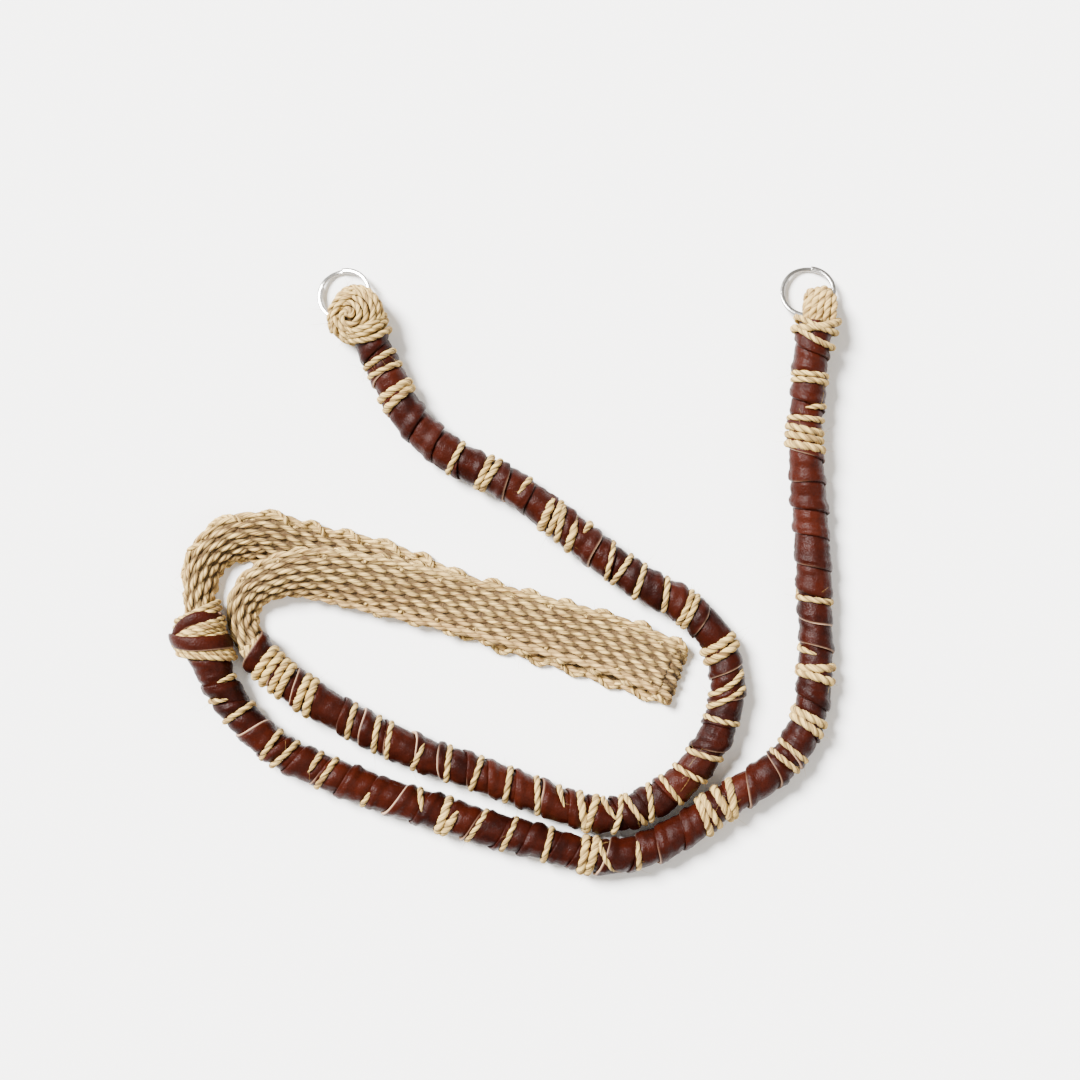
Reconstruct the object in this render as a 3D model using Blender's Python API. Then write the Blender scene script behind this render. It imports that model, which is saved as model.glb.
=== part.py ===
# Camera strap lying in a loose coil: two leather-wrapped hemp arms, a woven hemp
# shoulder band folded in two between them, and a split ring at each free end.
# Metres, +Z up, the floor at z = 0, the origin under the middle of the strap.

import math
from collections import namedtuple

import bmesh
import bpy
from mathutils import Vector

for old in list(bpy.data.objects):
    bpy.data.objects.remove(old, do_unlink=True)

# Clearances
PIECE_GAP = 0.0003            # between a piece and the one it covers or follows
ARM_CLEARANCE = 0.0012        # between the two arms where they lie side by side
FOLD_CLEARANCE = 0.0006       # between the band's fold and the arm beside it

# Hemp and leather of the arms
CORE_DIAMETER = 0.0086        # hemp bundle inside the leather
LEATHER_WALL = 0.0014         # mean wall of the wound leather strip
TURN_STEP = 0.0008            # how far each turn's edge stands over the next turn
PRESSED_WALL = 0.0010         # leather wall under a whipping
SETTLE = 0.0003               # how far the soft underside gives way on the floor
WHIPPING_CORD = 0.0018        # hemp cord of the whippings
WHIPPING_PITCH = 0.0028       # one turn of a whipping to the next
LIFT_FADE = 0.024             # length over which an arm comes down from a thick piece
KNOT_HALF_WIDTH = 0.0096      # broad knot where the right arm meets the band
KNOT_HALF_HEIGHT = 0.0080

# Woven band
BAND_WIDTH = 0.0210           # over the seven ropes, without the edge loops
BAND_THICKNESS = 0.0032
LOOP_PITCH = 0.0136           # one edge loop to the next
LOOP_DEPTH = 0.0018           # how far an edge loop stands out
WEAVE_RELIEF = 0.00025        # height of the rope lumps over the mean face
LAYER_GAP = 0.0010            # air between the two layers of the folded band

# Split rings
RING_DIAMETER = 0.0200
RING_WIRE_WIDTH = 0.0015
RING_WIRE_THICKNESS = 0.00085
RING_TURN_GAP = 0.0003        # air between the ring's two turns

# Hemp heads that hold the rings
LEFT_HEAD_LENGTH = 0.0195
LEFT_HEAD_WIDTH = 0.0200
LEFT_HEAD_HEIGHT = 0.0150
RIGHT_HEAD_LENGTH = 0.0140
RIGHT_HEAD_WIDTH = 0.0138
RIGHT_HEAD_HEIGHT = 0.0128

# Counts
ARM_SIDES = 10
CORE_SIDES = 8
COLLAR_SIDES = 10
RING_STEPS = 18               # straight pieces in one turn of a split ring
SECTIONS_PER_LOOP = 3

# The routes are drawn by hand in steps of one millimetre, from the ring to the band.
ROUTE_STEP = 0.001
HEADING_REACH = 0.002         # how far each way a route is read for its direction
LAY_CENTRE = (0.4, 1.8)       # middle of the lay, in the same steps
LEFT_ROUTE = (
    (-47.5, 84), (-41, 70), (-33.5, 56.5), (-19.5, 43.5), (1, 33), (16, 22.5),
    (32.5, 9.5), (50, -3), (64.5, -11), (75, -21), (80, -33), (80.5, -43),
    (76, -58.5), (65.5, -73), (52.5, -82), (39, -86.5), (24, -84), (11, -79),
    (-9.5, -71.5), (-31, -64), (-51.5, -54.5), (-71, -43), (-82.5, -34.5), (-90.5, -26),
)
RIGHT_ROUTE = (
    (112, 88), (110.5, 80), (110, 68.5), (109, 59), (108, 50.5), (109, 38),
    (110.5, 21.5), (111.5, 5.5), (112, -9), (112.5, -25), (112, -39.5), (109.5, -53),
    (104, -63.5), (94.5, -72.5), (81.5, -80.5), (68, -89), (55.5, -96.5), (42.5, -99),
    (27.5, -99), (11, -95.5), (-8.5, -90.5), (-28.5, -84), (-46.5, -78), (-67, -70),
    (-80.5, -63.5), (-92, -53.5), (-100.5, -42), (-106.5, -29.5), (-109.5, -22), (-110, -14),
)

# Leather stretches from the ring to the band: where one ends as a share of the arm,
# its turns of leather, the slant of its end in degrees and its girth as a share.
Stretch = namedtuple("Stretch", "end turns slant girth")
LEFT_STRETCHES = (
    Stretch(0.130, 5, -4, 1.00),
    Stretch(0.250, 4, -14, 0.99),
    Stretch(0.375, 5, -12, 1.03),
    Stretch(0.500, 4, -10, 1.04),
    Stretch(0.625, 5, -14, 1.00),
    Stretch(0.750, 4, -8, 1.02),
    Stretch(0.880, 5, -6, 1.01),
    Stretch(1.000, 4, 0, 0.99),
)
RIGHT_STRETCHES = (
    Stretch(0.110, 4, 8, 1.02),
    Stretch(0.230, 5, -4, 0.97),
    Stretch(0.350, 5, 10, 1.00),
    Stretch(0.470, 5, 12, 0.99),
    Stretch(0.590, 4, 8, 1.02),
    Stretch(0.710, 4, 6, 1.01),
    Stretch(0.830, 5, 10, 1.00),
    Stretch(0.955, 4, 0, 1.03),
)

# One turn of leather: shares of its length, with its height as a share of the step.
TURN_OUTLINE = ((0.05, -0.5), (0.50, 0.4), (0.93, 0.5))

# Cord whippings over the leather: middle as a share of the arm, turns, slant in degrees.
Whipping = namedtuple("Whipping", "name middle turns slant")
LEFT_WHIPPINGS = (Whipping("whipping_left_band", 0.968, 4, -10),)
RIGHT_WHIPPINGS = (
    Whipping("whipping_right_ring", 0.016, 2, 14),
    Whipping("whipping_right_middle", 0.097, 3, 10),
)

# The knot at the band end of the right arm: where each turn ends as a share of the arm,
# its ridges, the slant of its end and whether it is hemp cord or leather strip.
KnotTurn = namedtuple("KnotTurn", "name end ridges slant hemp")
KNOT_TURNS = (
    KnotTurn("knot_cord_lower", 0.9665, 2, 18, True),
    KnotTurn("knot_strip_lower", 0.9775, 1, 6, False),
    KnotTurn("knot_cord_upper", 0.9890, 2, -10, True),
    KnotTurn("knot_strip_upper", 1.0000, 1, -3, False),
)

# Outline of a ring head from the arm to its tip: shares of its length and half width.
HEAD_OUTLINE = (
    (0.00, 0.66), (0.10, 0.84), (0.17, 0.82), (0.28, 0.96), (0.36, 0.93), (0.50, 1.00),
    (0.58, 0.95), (0.72, 0.93), (0.79, 0.84), (0.90, 0.66), (0.97, 0.40), (1.00, 0.18),
)

# Band, left to right in route steps: width share, curl and roll in degrees, and how far
# it lies on the other layer (0 on the floor, 1 on the layer below).
BandRow = namedtuple("BandRow", "x y width curl roll layer")
LOWER_BAND = (
    BandRow(-110, -13, 0.66, 235, 0, 0.7),
    BandRow(-109.5, -6, 0.72, 205, 8, 0.4),
    BandRow(-107.5, 2, 0.80, 165, 22, 0.1),
    BandRow(-103, 8, 0.88, 130, 30, 0),
    BandRow(-95, 12, 0.96, 95, 28, 0),
    BandRow(-84, 12, 1.0, 60, 16, 0),
    BandRow(-69.5, 7.5, 1.0, 20, 4, 0),
    BandRow(-46, 2, 1.0, 0, 0, 0),
    BandRow(-24, -7, 1.0, 0, 0, 0),
    BandRow(0, -16.5, 1.0, 0, 0, 0),
    BandRow(24.5, -24.5, 1.0, 0, 0, 0),
    BandRow(48, -32.5, 1.0, 0, 0, 0),
    BandRow(61, -37, 1.0, 0, 0, 0),
)
UPPER_BAND = (
    BandRow(-91.4, -25, 0.66, 235, 0, 0.4),
    BandRow(-94.5, -18.5, 0.70, 215, -8, 0.2),
    BandRow(-93.8, -11.5, 0.76, 195, 6, 0),
    BandRow(-89.5, -6, 0.82, 175, 18, 0.3),
    BandRow(-82, -2.5, 0.90, 135, 26, 0.9),
    BandRow(-73, -0.5, 0.96, 95, 24, 1),
    BandRow(-57.5, -1.5, 1.0, 50, 14, 1),
    BandRow(-33, -6.5, 1.0, 14, 4, 1),
    BandRow(-10.5, -12, 1.0, 0, 0, 1),
    BandRow(11, -17.5, 1.0, 0, 0, 1),
    BandRow(37, -24.5, 1.0, 0, 0, 1),
    BandRow(50, -29.5, 1.0, 0, 0, 1),
    BandRow(61, -34.5, 1.0, 0, 0, 1),
)
FOLD_ANGLES = (30, 60, 90, 120, 150)
ACROSS = (-0.68, -0.23, 0.23, 0.68)   # where the band's face points lie, as shares

# How the head holds its ring: channel as a share of the head, swing of the ring.
LEFT_CHANNEL, LEFT_SWING = 0.58, 13
RIGHT_CHANNEL, RIGHT_SWING = 0.44, 34

SLEEVE_BORE = (CORE_DIAMETER / 2 + PIECE_GAP) / math.cos(math.pi / ARM_SIDES)
LEATHER_RADIUS = SLEEVE_BORE + LEATHER_WALL
PRESSED_RADIUS = SLEEVE_BORE + PRESSED_WALL
COLLAR_BORE = (PRESSED_RADIUS + PIECE_GAP) / math.cos(math.pi / COLLAR_SIDES)
KNOT_BORE = (CORE_DIAMETER / 2 + PIECE_GAP) / math.cos(math.pi / COLLAR_SIDES)
COLLAR_RADIUS = COLLAR_BORE + WHIPPING_CORD
LARGEST_GIRTH = max(row.girth for row in LEFT_STRETCHES + RIGHT_STRETCHES)
ARM_REACH = LEATHER_RADIUS * LARGEST_GIRTH + TURN_STEP / 2


def make_material(name, colour, roughness, metallic=0.0):
    material = bpy.data.materials.new(name)
    material.use_nodes = True
    shader = material.node_tree.nodes["Principled BSDF"]
    shader.inputs["Base Color"].default_value = (*colour, 1.0)
    shader.inputs["Roughness"].default_value = roughness
    shader.inputs["Metallic"].default_value = metallic
    return material


LEATHER = make_material("brown_leather", (0.105, 0.028, 0.017), 0.38)
HEMP = make_material("hemp_cord", (0.62, 0.47, 0.27), 0.85)
WEAVE = make_material("hemp_weave", (0.58, 0.44, 0.26), 0.9)
STEEL = make_material("polished_steel", (0.72, 0.71, 0.70), 0.18, 1.0)

strap = bpy.data.objects.new("strap", None)
bpy.context.collection.objects.link(strap)


def loft(name, rings, material, cyclic=False, round_edges=40):
    """Skin a row of equal rings; an open row gets end caps, a cyclic one closes on itself."""
    count = len(rings[0])
    points = [point for ring in rings for point in ring]
    middle = sum(points, Vector()) / len(points)
    faces = []
    for row in range(len(rings) if cyclic else len(rings) - 1):
        here = row * count
        there = (row + 1) % len(rings) * count
        for side in range(count):
            after = (side + 1) % count
            faces.append((here + side, here + after, there + after, there + side))
    if not cyclic:
        last = (len(rings) - 1) * count
        faces.append(tuple(reversed(range(count))))
        faces.append(tuple(range(last, last + count)))
    mesh = bpy.data.meshes.new(name)
    mesh.from_pydata([point - middle for point in points], [], faces)
    shape = bmesh.new()
    shape.from_mesh(mesh)
    bmesh.ops.recalc_face_normals(shape, faces=shape.faces)
    shape.to_mesh(mesh)
    shape.free()
    mesh.shade_smooth()
    mesh.set_sharp_from_angle(angle=math.radians(round_edges))
    mesh.materials.append(material)
    piece = bpy.data.objects.new(name, mesh)
    piece.location = middle
    piece.parent = strap
    bpy.context.collection.objects.link(piece)
    return piece


def on_floor(point):
    """Soft material gives way where it meets the floor."""
    return Vector((point.x, point.y, max(point.z, 0.0)))


def smooth_rows(rows, steps):
    """Rows on a smooth curve through the chosen rows, each column alike."""
    padded = [rows[0], *rows, rows[-1]]
    smooth = []
    for before, start, end, after in zip(padded, padded[1:], padded[2:], padded[3:]):
        for step in range(steps):
            t = step / steps
            smooth.append([
                0.5 * (2 * b + (c - a) * t + (2 * a - 5 * b + 4 * c - d) * t * t
                       + (3 * b - a - 3 * c + d) * t ** 3)
                for a, b, c, d in zip(before, start, end, after)
            ])
    smooth.append([float(value) for value in rows[-1]])
    return smooth


def route_point(x, y):
    """A place in the plan, from the route's steps to metres."""
    return Vector(((x - LAY_CENTRE[0]) * ROUTE_STEP, (y - LAY_CENTRE[1]) * ROUTE_STEP, 0.0))


def pushed_clear(points, others, distance):
    """Move each point that lies nearer to the other route than the distance allows."""
    cleared = []
    for point in points:
        nearest = min(others, key=lambda other: (other - point).length)
        apart = point - nearest
        if apart.length < distance:
            point = nearest + apart.normalized() * distance
        cleared.append(point)
    return cleared


class Route:
    """A plan curve measured along its length, carried straight on past both ends."""

    def __init__(self, points):
        self.points = points
        self.marks = [0.0]
        for start, end in zip(points, points[1:]):
            self.marks.append(self.marks[-1] + (end - start).length)
        self.length = self.marks[-1]

    def point(self, place):
        index = 0
        last = len(self.marks) - 2
        while index < last and self.marks[index + 1] < place:
            index += 1
        start, end = self.points[index], self.points[index + 1]
        span = self.marks[index + 1] - self.marks[index]
        return start + (end - start) * ((place - self.marks[index]) / span)

    def heading(self, place):
        inside = min(max(place, HEADING_REACH), self.length - HEADING_REACH)
        ahead = self.point(inside + HEADING_REACH)
        return (ahead - self.point(inside - HEADING_REACH)).normalized()


Lift = namedtuple("Lift", "start end half_height")


class Arm(Route):
    """An arm on the floor: its route, and how high its thick pieces hold it."""

    def __init__(self, points, lifts):
        super().__init__(points)
        self.lifts = lifts

    def height(self, place):
        extra = 0.0
        for lift in self.lifts:
            away = max(lift.start - place, place - lift.end, 0.0) / LIFT_FADE
            if away < 1.0:
                share = 0.5 + 0.5 * math.cos(math.pi * away)
                extra = max(extra, (lift.half_height - LEATHER_RADIUS) * share)
        return LEATHER_RADIUS - SETTLE + extra

    def ring(self, place, half_width, half_height, slant, sides):
        """Points round the arm in a plane that leans by the slant, seen from above."""
        points = []
        for side in range(sides):
            turn = 2 * math.pi * (side + 0.5) / sides - math.pi / 2
            lean = math.tan(math.radians(slant)) * half_width * math.cos(turn)
            forward = self.heading(place + lean)
            sideways = Vector((-forward.y, forward.x, 0.0))
            centre = self.point(place + lean)
            centre.z = self.height(place + lean)
            offset = sideways * (half_width * math.cos(turn))
            offset.z = half_height * math.sin(turn)
            points.append(on_floor(centre + offset))
        return points


def whipping_span(arm_length, row):
    """Where a whipping starts and ends along its arm."""
    half = row.turns * WHIPPING_PITCH / 2
    middle = row.middle * arm_length
    return middle - half, middle + half


def collar_lifts(arm_length, whippings):
    """Stretches that a whipping holds up, from its place and its cords."""
    lifts = []
    for row in whippings:
        start, end = whipping_span(arm_length, row)
        lifts.append(Lift(start, end, COLLAR_RADIUS))
    return lifts


def smooth_route(chosen):
    rows = smooth_rows(chosen, 10)
    return [route_point(x, y) for x, y in rows]


def make_arms():
    """Both arms; the right one keeps clear of the left where they lie side by side."""
    left_points = smooth_route(LEFT_ROUTE)
    right_points = pushed_clear(
        smooth_route(RIGHT_ROUTE), left_points, 2 * ARM_REACH + ARM_CLEARANCE)
    left_length = Route(left_points).length
    right_length = Route(right_points).length
    left_lifts = collar_lifts(left_length, LEFT_WHIPPINGS)
    left_lifts.append(Lift(-LEFT_HEAD_LENGTH, 0.0, LEFT_HEAD_HEIGHT / 2))
    right_lifts = collar_lifts(right_length, RIGHT_WHIPPINGS)
    right_lifts.append(Lift(-RIGHT_HEAD_LENGTH, 0.0, RIGHT_HEAD_HEIGHT / 2))
    knot_start = RIGHT_STRETCHES[-1].end * right_length
    right_lifts.append(Lift(knot_start, right_length, KNOT_HALF_HEIGHT))
    return Arm(left_points, left_lifts), Arm(right_points, right_lifts)


def tube(name, arm, outer, inner, sides, material):
    """A hollow piece round an arm from its outer and inner places and radii."""
    rings = [arm.ring(*row, sides) for row in outer]
    rings += [arm.ring(*row, sides) for row in reversed(inner)]
    return loft(name, rings, material, cyclic=True)


def make_leather(side, arm, stretches, whippings):
    """The wound leather: hollow stretches whose turns overlap like low steps."""
    low = TURN_OUTLINE[0][1] * TURN_STEP
    high = TURN_OUTLINE[-1][1] * TURN_STEP
    press_margin = 0.35 * COLLAR_RADIUS
    pressed = [(start - press_margin, end + press_margin)
               for start, end in (whipping_span(arm.length, row) for row in whippings)]
    core_places = []
    start, start_slant = 0.0, 0.0
    for number, row in enumerate(stretches, 1):
        begin = start * arm.length + PIECE_GAP / 2
        finish = row.end * arm.length - PIECE_GAP / 2
        length = finish - begin

        def slant_at(place):
            share = (place - begin) / length
            return start_slant + (row.slant - start_slant) * share

        marks = []
        for turn in range(row.turns):
            for share, rise in TURN_OUTLINE:
                marks.append((begin + length * (turn + share) / row.turns, rise * TURN_STEP))
        marks = [(begin, low), *marks[1:], (finish, high)]
        outer = []
        for place, step in marks:
            if not any(low_end < place < high_end for low_end, high_end in pressed):
                radius = LEATHER_RADIUS * row.girth + step
                outer.append((place, radius, radius, slant_at(place)))
        for ends in pressed:
            for place in ends:
                inside = min(max(place, begin), finish)
                if ends[0] < finish and ends[1] > begin:
                    outer.append((inside, PRESSED_RADIUS, PRESSED_RADIUS, slant_at(inside)))
        outer.sort()
        inner = []
        for turn in range(row.turns + 1):
            place = begin + length * turn / row.turns
            inner.append((place, SLEEVE_BORE, SLEEVE_BORE, slant_at(place)))
        core_places += [place for place, *rest in inner[:-1]]
        tube(f"leather_wrap_{side}_{number}", arm, outer, inner, ARM_SIDES, LEATHER)
        start, start_slant = row.end, row.slant
    return core_places


def make_core(side, arm, places):
    """The hemp bundle that runs through an arm from its head to the band."""
    places = [0.0, *places[1:], arm.length]
    radius = CORE_DIAMETER / 2
    rings = [arm.ring(place, radius, radius, 0.0, CORE_SIDES) for place in places]
    return loft(f"cord_core_{side}", rings, HEMP)


def ridged(start, end, turns, start_slant, end_slant, half_width, half_height, depth):
    """Places and radii of a wound piece whose cords stand out as round ridges."""
    rows = []
    for turn in range(turns):
        for share, drop in ((0.0, depth), (0.28, 0.0), (0.72, 0.0)):
            along = (turn + share) / turns
            slant = start_slant + (end_slant - start_slant) * along
            place = start + (end - start) * along
            rows.append((place, half_width - drop, half_height - drop, slant))
    rows.append((end, half_width - depth, half_height - depth, end_slant))
    return rows


def make_whippings(arm, whippings):
    """Cord wound over the leather, one ridge for each turn."""
    for row in whippings:
        start, end = whipping_span(arm.length, row)
        outer = ridged(start, end, row.turns, row.slant, row.slant,
                       COLLAR_RADIUS, COLLAR_RADIUS, WHIPPING_CORD * 0.3)
        inner = [(place, COLLAR_BORE, COLLAR_BORE, row.slant) for place in (start, end)]
        tube(row.name, arm, outer, inner, COLLAR_SIDES, HEMP)


def make_knot(arm):
    """Cord and leather strip wound in turn over the band end of the right arm."""
    start = RIGHT_STRETCHES[-1].end * arm.length
    start_slant = RIGHT_STRETCHES[-1].slant
    for row in KNOT_TURNS:
        begin = start + PIECE_GAP / 2
        end = row.end * arm.length - PIECE_GAP / 2
        depth = (WHIPPING_CORD if row.hemp else TURN_STEP) * 0.4
        outer = ridged(begin, end, row.ridges, start_slant, row.slant,
                       KNOT_HALF_WIDTH, KNOT_HALF_HEIGHT, depth)
        inner = [(begin, KNOT_BORE, KNOT_BORE, start_slant), (end, KNOT_BORE, KNOT_BORE, row.slant)]
        tube(row.name, arm, outer, inner, COLLAR_SIDES, HEMP if row.hemp else LEATHER)
        start, start_slant = row.end * arm.length, row.slant


class RingPlace:
    """The tilted plane of a split ring: through its head at one side, on the floor at the other."""

    def __init__(self, arm, head_length, channel, swing):
        self.mean = (RING_DIAMETER - RING_WIRE_WIDTH) / 2
        self.half_stack = RING_WIRE_THICKNESS + RING_TURN_GAP / 2
        place = -head_length * channel
        out = -arm.heading(0.0)
        turn = math.radians(swing)
        out = Vector((out.x * math.cos(turn) - out.y * math.sin(turn),
                      out.x * math.sin(turn) + out.y * math.cos(turn), 0.0))
        hold = arm.point(place)
        hold.z = arm.height(place)
        reach = self.mean + RING_DIAMETER / 2
        tilt = (math.asin(hold.z / math.hypot(reach, self.half_stack))
                - math.atan2(self.half_stack, reach))
        self.out = out * math.cos(tilt) - Vector((0, 0, math.sin(tilt)))
        self.side = Vector((-out.y, out.x, 0.0))
        self.up = self.out.cross(self.side)
        self.centre = hold + self.out * self.mean

    def at(self, turn, radius, height):
        """A place on the ring from its turn in radians, its radius and its height."""
        flat = self.out * math.cos(turn) + self.side * math.sin(turn)
        return self.centre + flat * radius + self.up * height


def make_split_ring(name, spot):
    """Flat wire in two stacked turns, with the step between them opposite the head."""
    inner = spot.mean - RING_WIRE_WIDTH / 2
    outer = spot.mean + RING_WIRE_WIDTH / 2
    shift = (RING_WIRE_THICKNESS + RING_TURN_GAP) / 2
    half = RING_WIRE_THICKNESS / 2
    step_angle = 2 * math.pi / 12
    first = step_angle
    last = 4 * math.pi - step_angle
    steps = 2 * RING_STEPS
    rings = []
    for step in range(steps + 1):
        turn = first + (last - first) * step / steps
        ease = min(max((turn - 2 * math.pi) / step_angle, -1.0), 1.0)
        height = shift * math.sin(ease * math.pi / 2)
        rings.append([
            spot.at(turn, inner, height - half), spot.at(turn, outer, height - half),
            spot.at(turn, outer, height + half), spot.at(turn, inner, height + half),
        ])
    return loft(name, rings, STEEL, round_edges=30)


def make_head(name, arm, spot, length, width, height):
    """The hemp loop that closes over the ring, cut through where the ring runs."""
    rings = []
    for share, girth in HEAD_OUTLINE:
        place = -PIECE_GAP - (length - PIECE_GAP) * share
        rings.append(arm.ring(place, width / 2 * girth, height / 2 * girth, 0.0, COLLAR_SIDES))
    head = loft(name, rings, HEMP)
    bore = math.hypot(RING_WIRE_WIDTH / 2, spot.half_stack) + PIECE_GAP
    sides = 8
    bore /= math.cos(math.pi / sides)
    channel_rings = []
    for step in range(2 * RING_STEPS):
        turn = math.pi * step / RING_STEPS
        channel_rings.append([
            spot.at(turn, spot.mean + bore * math.cos(round_turn), bore * math.sin(round_turn))
            for round_turn in (2 * math.pi * (side + 0.5) / sides for side in range(sides))
        ])
    channel = loft(f"{name}_channel", channel_rings, HEMP, cyclic=True)
    channel.hide_render = True
    channel.display_type = "WIRE"
    cut = head.modifiers.new("ring channel", "BOOLEAN")
    cut.operation = "DIFFERENCE"
    cut.solver = "EXACT"
    cut.object = channel
    return head


def band_ring(centre, across, crown, row, station, face, floor):
    """Points round the woven band: two faces with rope lumps between looped edges."""
    bend = math.radians(row.curl) / 2
    looped = 1.0 - row.curl / 360
    loop = max(0.0, math.sin(2 * math.pi * (station + 0.5) / SECTIONS_PER_LOOP)) * LOOP_DEPTH
    half_width = BAND_WIDTH / 2 * row.width
    half_thick = BAND_THICKNESS / 2

    def surface(share, offset):
        reach = half_width * share
        if bend > 0.01:
            radius = half_width / bend
            reach = radius * math.sin(share * bend)
            drop = radius * (1 - math.cos(share * bend))
        else:
            drop = 0.0
        lean = share * bend
        outward = across * math.sin(lean) + crown * math.cos(lean)
        return centre + across * reach - crown * drop + outward * offset

    def edge(share):
        lean = share * bend
        along_face = across * math.cos(lean) - crown * math.sin(lean)
        return surface(share, 0.0) + along_face * (math.copysign(loop * looped, share))

    def lump(index, offset):
        rise = WEAVE_RELIEF if (index + station) % 2 else -WEAVE_RELIEF
        return offset + math.copysign(1.0, offset) * rise

    count = len(ACROSS)
    points = [edge(-1.0)]
    points += [surface(share, lump(index, face * half_thick)) for index, share in enumerate(ACROSS)]
    points.append(edge(1.0))
    points += [surface(ACROSS[index], lump(index, -face * half_thick))
               for index in reversed(range(count))]
    if floor is None:
        return points
    shift = floor - min(point.z for point in points)
    raised = [point + Vector((0, 0, shift)) for point in points]
    return [on_floor(point) for point in raised]


def even_rows(rows, spacing, arm):
    """Band rows at even distances from the end of an arm, each with its heading."""
    mouth = arm.point(arm.length + PIECE_GAP) / ROUTE_STEP
    first = rows[0]._replace(x=mouth.x + LAY_CENTRE[0], y=mouth.y + LAY_CENTRE[1])
    rows = [first, *rows[1:]]
    fine = [BandRow(*row) for row in smooth_rows(rows, 16)]
    route = Route([route_point(row.x, row.y) for row in fine])
    count = max(2, round(route.length / spacing))
    even = []
    for step in range(count + 1):
        place = route.length * step / count
        index = 0
        while index < len(fine) - 2 and route.marks[index + 1] < place:
            index += 1
        span = route.marks[index + 1] - route.marks[index]
        share = (place - route.marks[index]) / span
        mixed = BandRow(*(a + (b - a) * share for a, b in zip(fine[index], fine[index + 1])))
        even.append((mixed, route.point(place), route.heading(place)))
    even[0] = (*even[0][:2], arm.heading(arm.length))
    return even


def clear_of_arm(rows, arm):
    """Draw the fold back until its corners clear the arm beside it."""
    rows = list(rows)
    reach = BAND_THICKNESS + LAYER_GAP / 2 + 2 * WEAVE_RELIEF
    half = BAND_WIDTH / 2 + LOOP_DEPTH
    wanted = ARM_REACH + FOLD_CLEARANCE
    while True:
        end = route_point(rows[-1].x, rows[-1].y)
        ahead = (end - route_point(rows[-2].x, rows[-2].y)).normalized()
        aside = Vector((-ahead.y, ahead.x, 0.0))
        corners = [end + ahead * reach + aside * half * sign for sign in (-1, 1)]
        room = min((corner - point).length for corner in corners for point in arm.points)
        if room >= wanted:
            return rows
        rows[-1] = rows[-1]._replace(
            x=rows[-1].x - ahead.x * 0.25, y=rows[-1].y - ahead.y * 0.25)


def make_band(left, right):
    """The woven band from the right arm, folded over at its far end, back to the left arm."""
    spacing = LOOP_PITCH / SECTIONS_PER_LOOP
    lower = even_rows(clear_of_arm(LOWER_BAND, left), spacing, right)
    upper = even_rows(clear_of_arm(UPPER_BAND, left), spacing, left)
    upper.reverse()
    sections = []

    def lay(rows, face):
        for row, centre, ahead in rows:
            roll = math.radians(row.roll)
            aside = Vector((-ahead.y, ahead.x, 0.0))
            across = aside * math.cos(roll) + Vector((0, 0, math.sin(roll)))
            crown = ahead.cross(across)
            floor = row.layer * (BAND_THICKNESS + LAYER_GAP)
            if face > 0:
                floor -= 2 * WEAVE_RELIEF
            sections.append(band_ring(centre, across, crown, row, len(sections), face, floor))

    lay(lower, 1)
    bottom = sections[-1]
    start = sum(bottom, Vector()) / len(bottom)
    lay(upper[:1], -1)
    top = sections.pop()
    end = sum(top, Vector()) / len(top)
    ahead = lower[-1][2]
    aside = Vector((-ahead.y, ahead.x, 0.0))
    reach = (end.z - start.z) / 2
    flat = lower[-1][0]._replace(curl=0, roll=0, width=1.0)
    for angle in FOLD_ANGLES:
        turn = math.radians(angle)
        centre = (start + end) / 2 + ahead * (reach * math.sin(turn))
        centre += (start - end) / 2 * math.cos(turn)
        facing = Vector((0, 0, math.cos(turn))) - ahead * math.sin(turn)
        sections.append(band_ring(centre, aside, facing, flat, len(sections), 1, None))
    lay(upper, -1)
    return loft("woven_band", sections, WEAVE, round_edges=60)


left_arm, right_arm = make_arms()
left_places = make_leather("left", left_arm, LEFT_STRETCHES, LEFT_WHIPPINGS)
right_places = make_leather("right", right_arm, RIGHT_STRETCHES, RIGHT_WHIPPINGS)
make_core("left", left_arm, left_places)
knot_places = [RIGHT_STRETCHES[-1].end, *(row.end for row in KNOT_TURNS[:-1])]
right_places += [share * right_arm.length for share in knot_places]
make_core("right", right_arm, right_places)
make_whippings(left_arm, LEFT_WHIPPINGS)
make_whippings(right_arm, RIGHT_WHIPPINGS)
make_knot(right_arm)
left_spot = RingPlace(left_arm, LEFT_HEAD_LENGTH, LEFT_CHANNEL, LEFT_SWING)
right_spot = RingPlace(right_arm, RIGHT_HEAD_LENGTH, RIGHT_CHANNEL, RIGHT_SWING)
make_head("ring_loop_left", left_arm, left_spot,
          LEFT_HEAD_LENGTH, LEFT_HEAD_WIDTH, LEFT_HEAD_HEIGHT)
make_head("ring_loop_right", right_arm, right_spot,
          RIGHT_HEAD_LENGTH, RIGHT_HEAD_WIDTH, RIGHT_HEAD_HEIGHT)
make_split_ring("split_ring_left", left_spot)
make_split_ring("split_ring_right", right_spot)
make_band(left_arm, right_arm)
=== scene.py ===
import math

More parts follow.
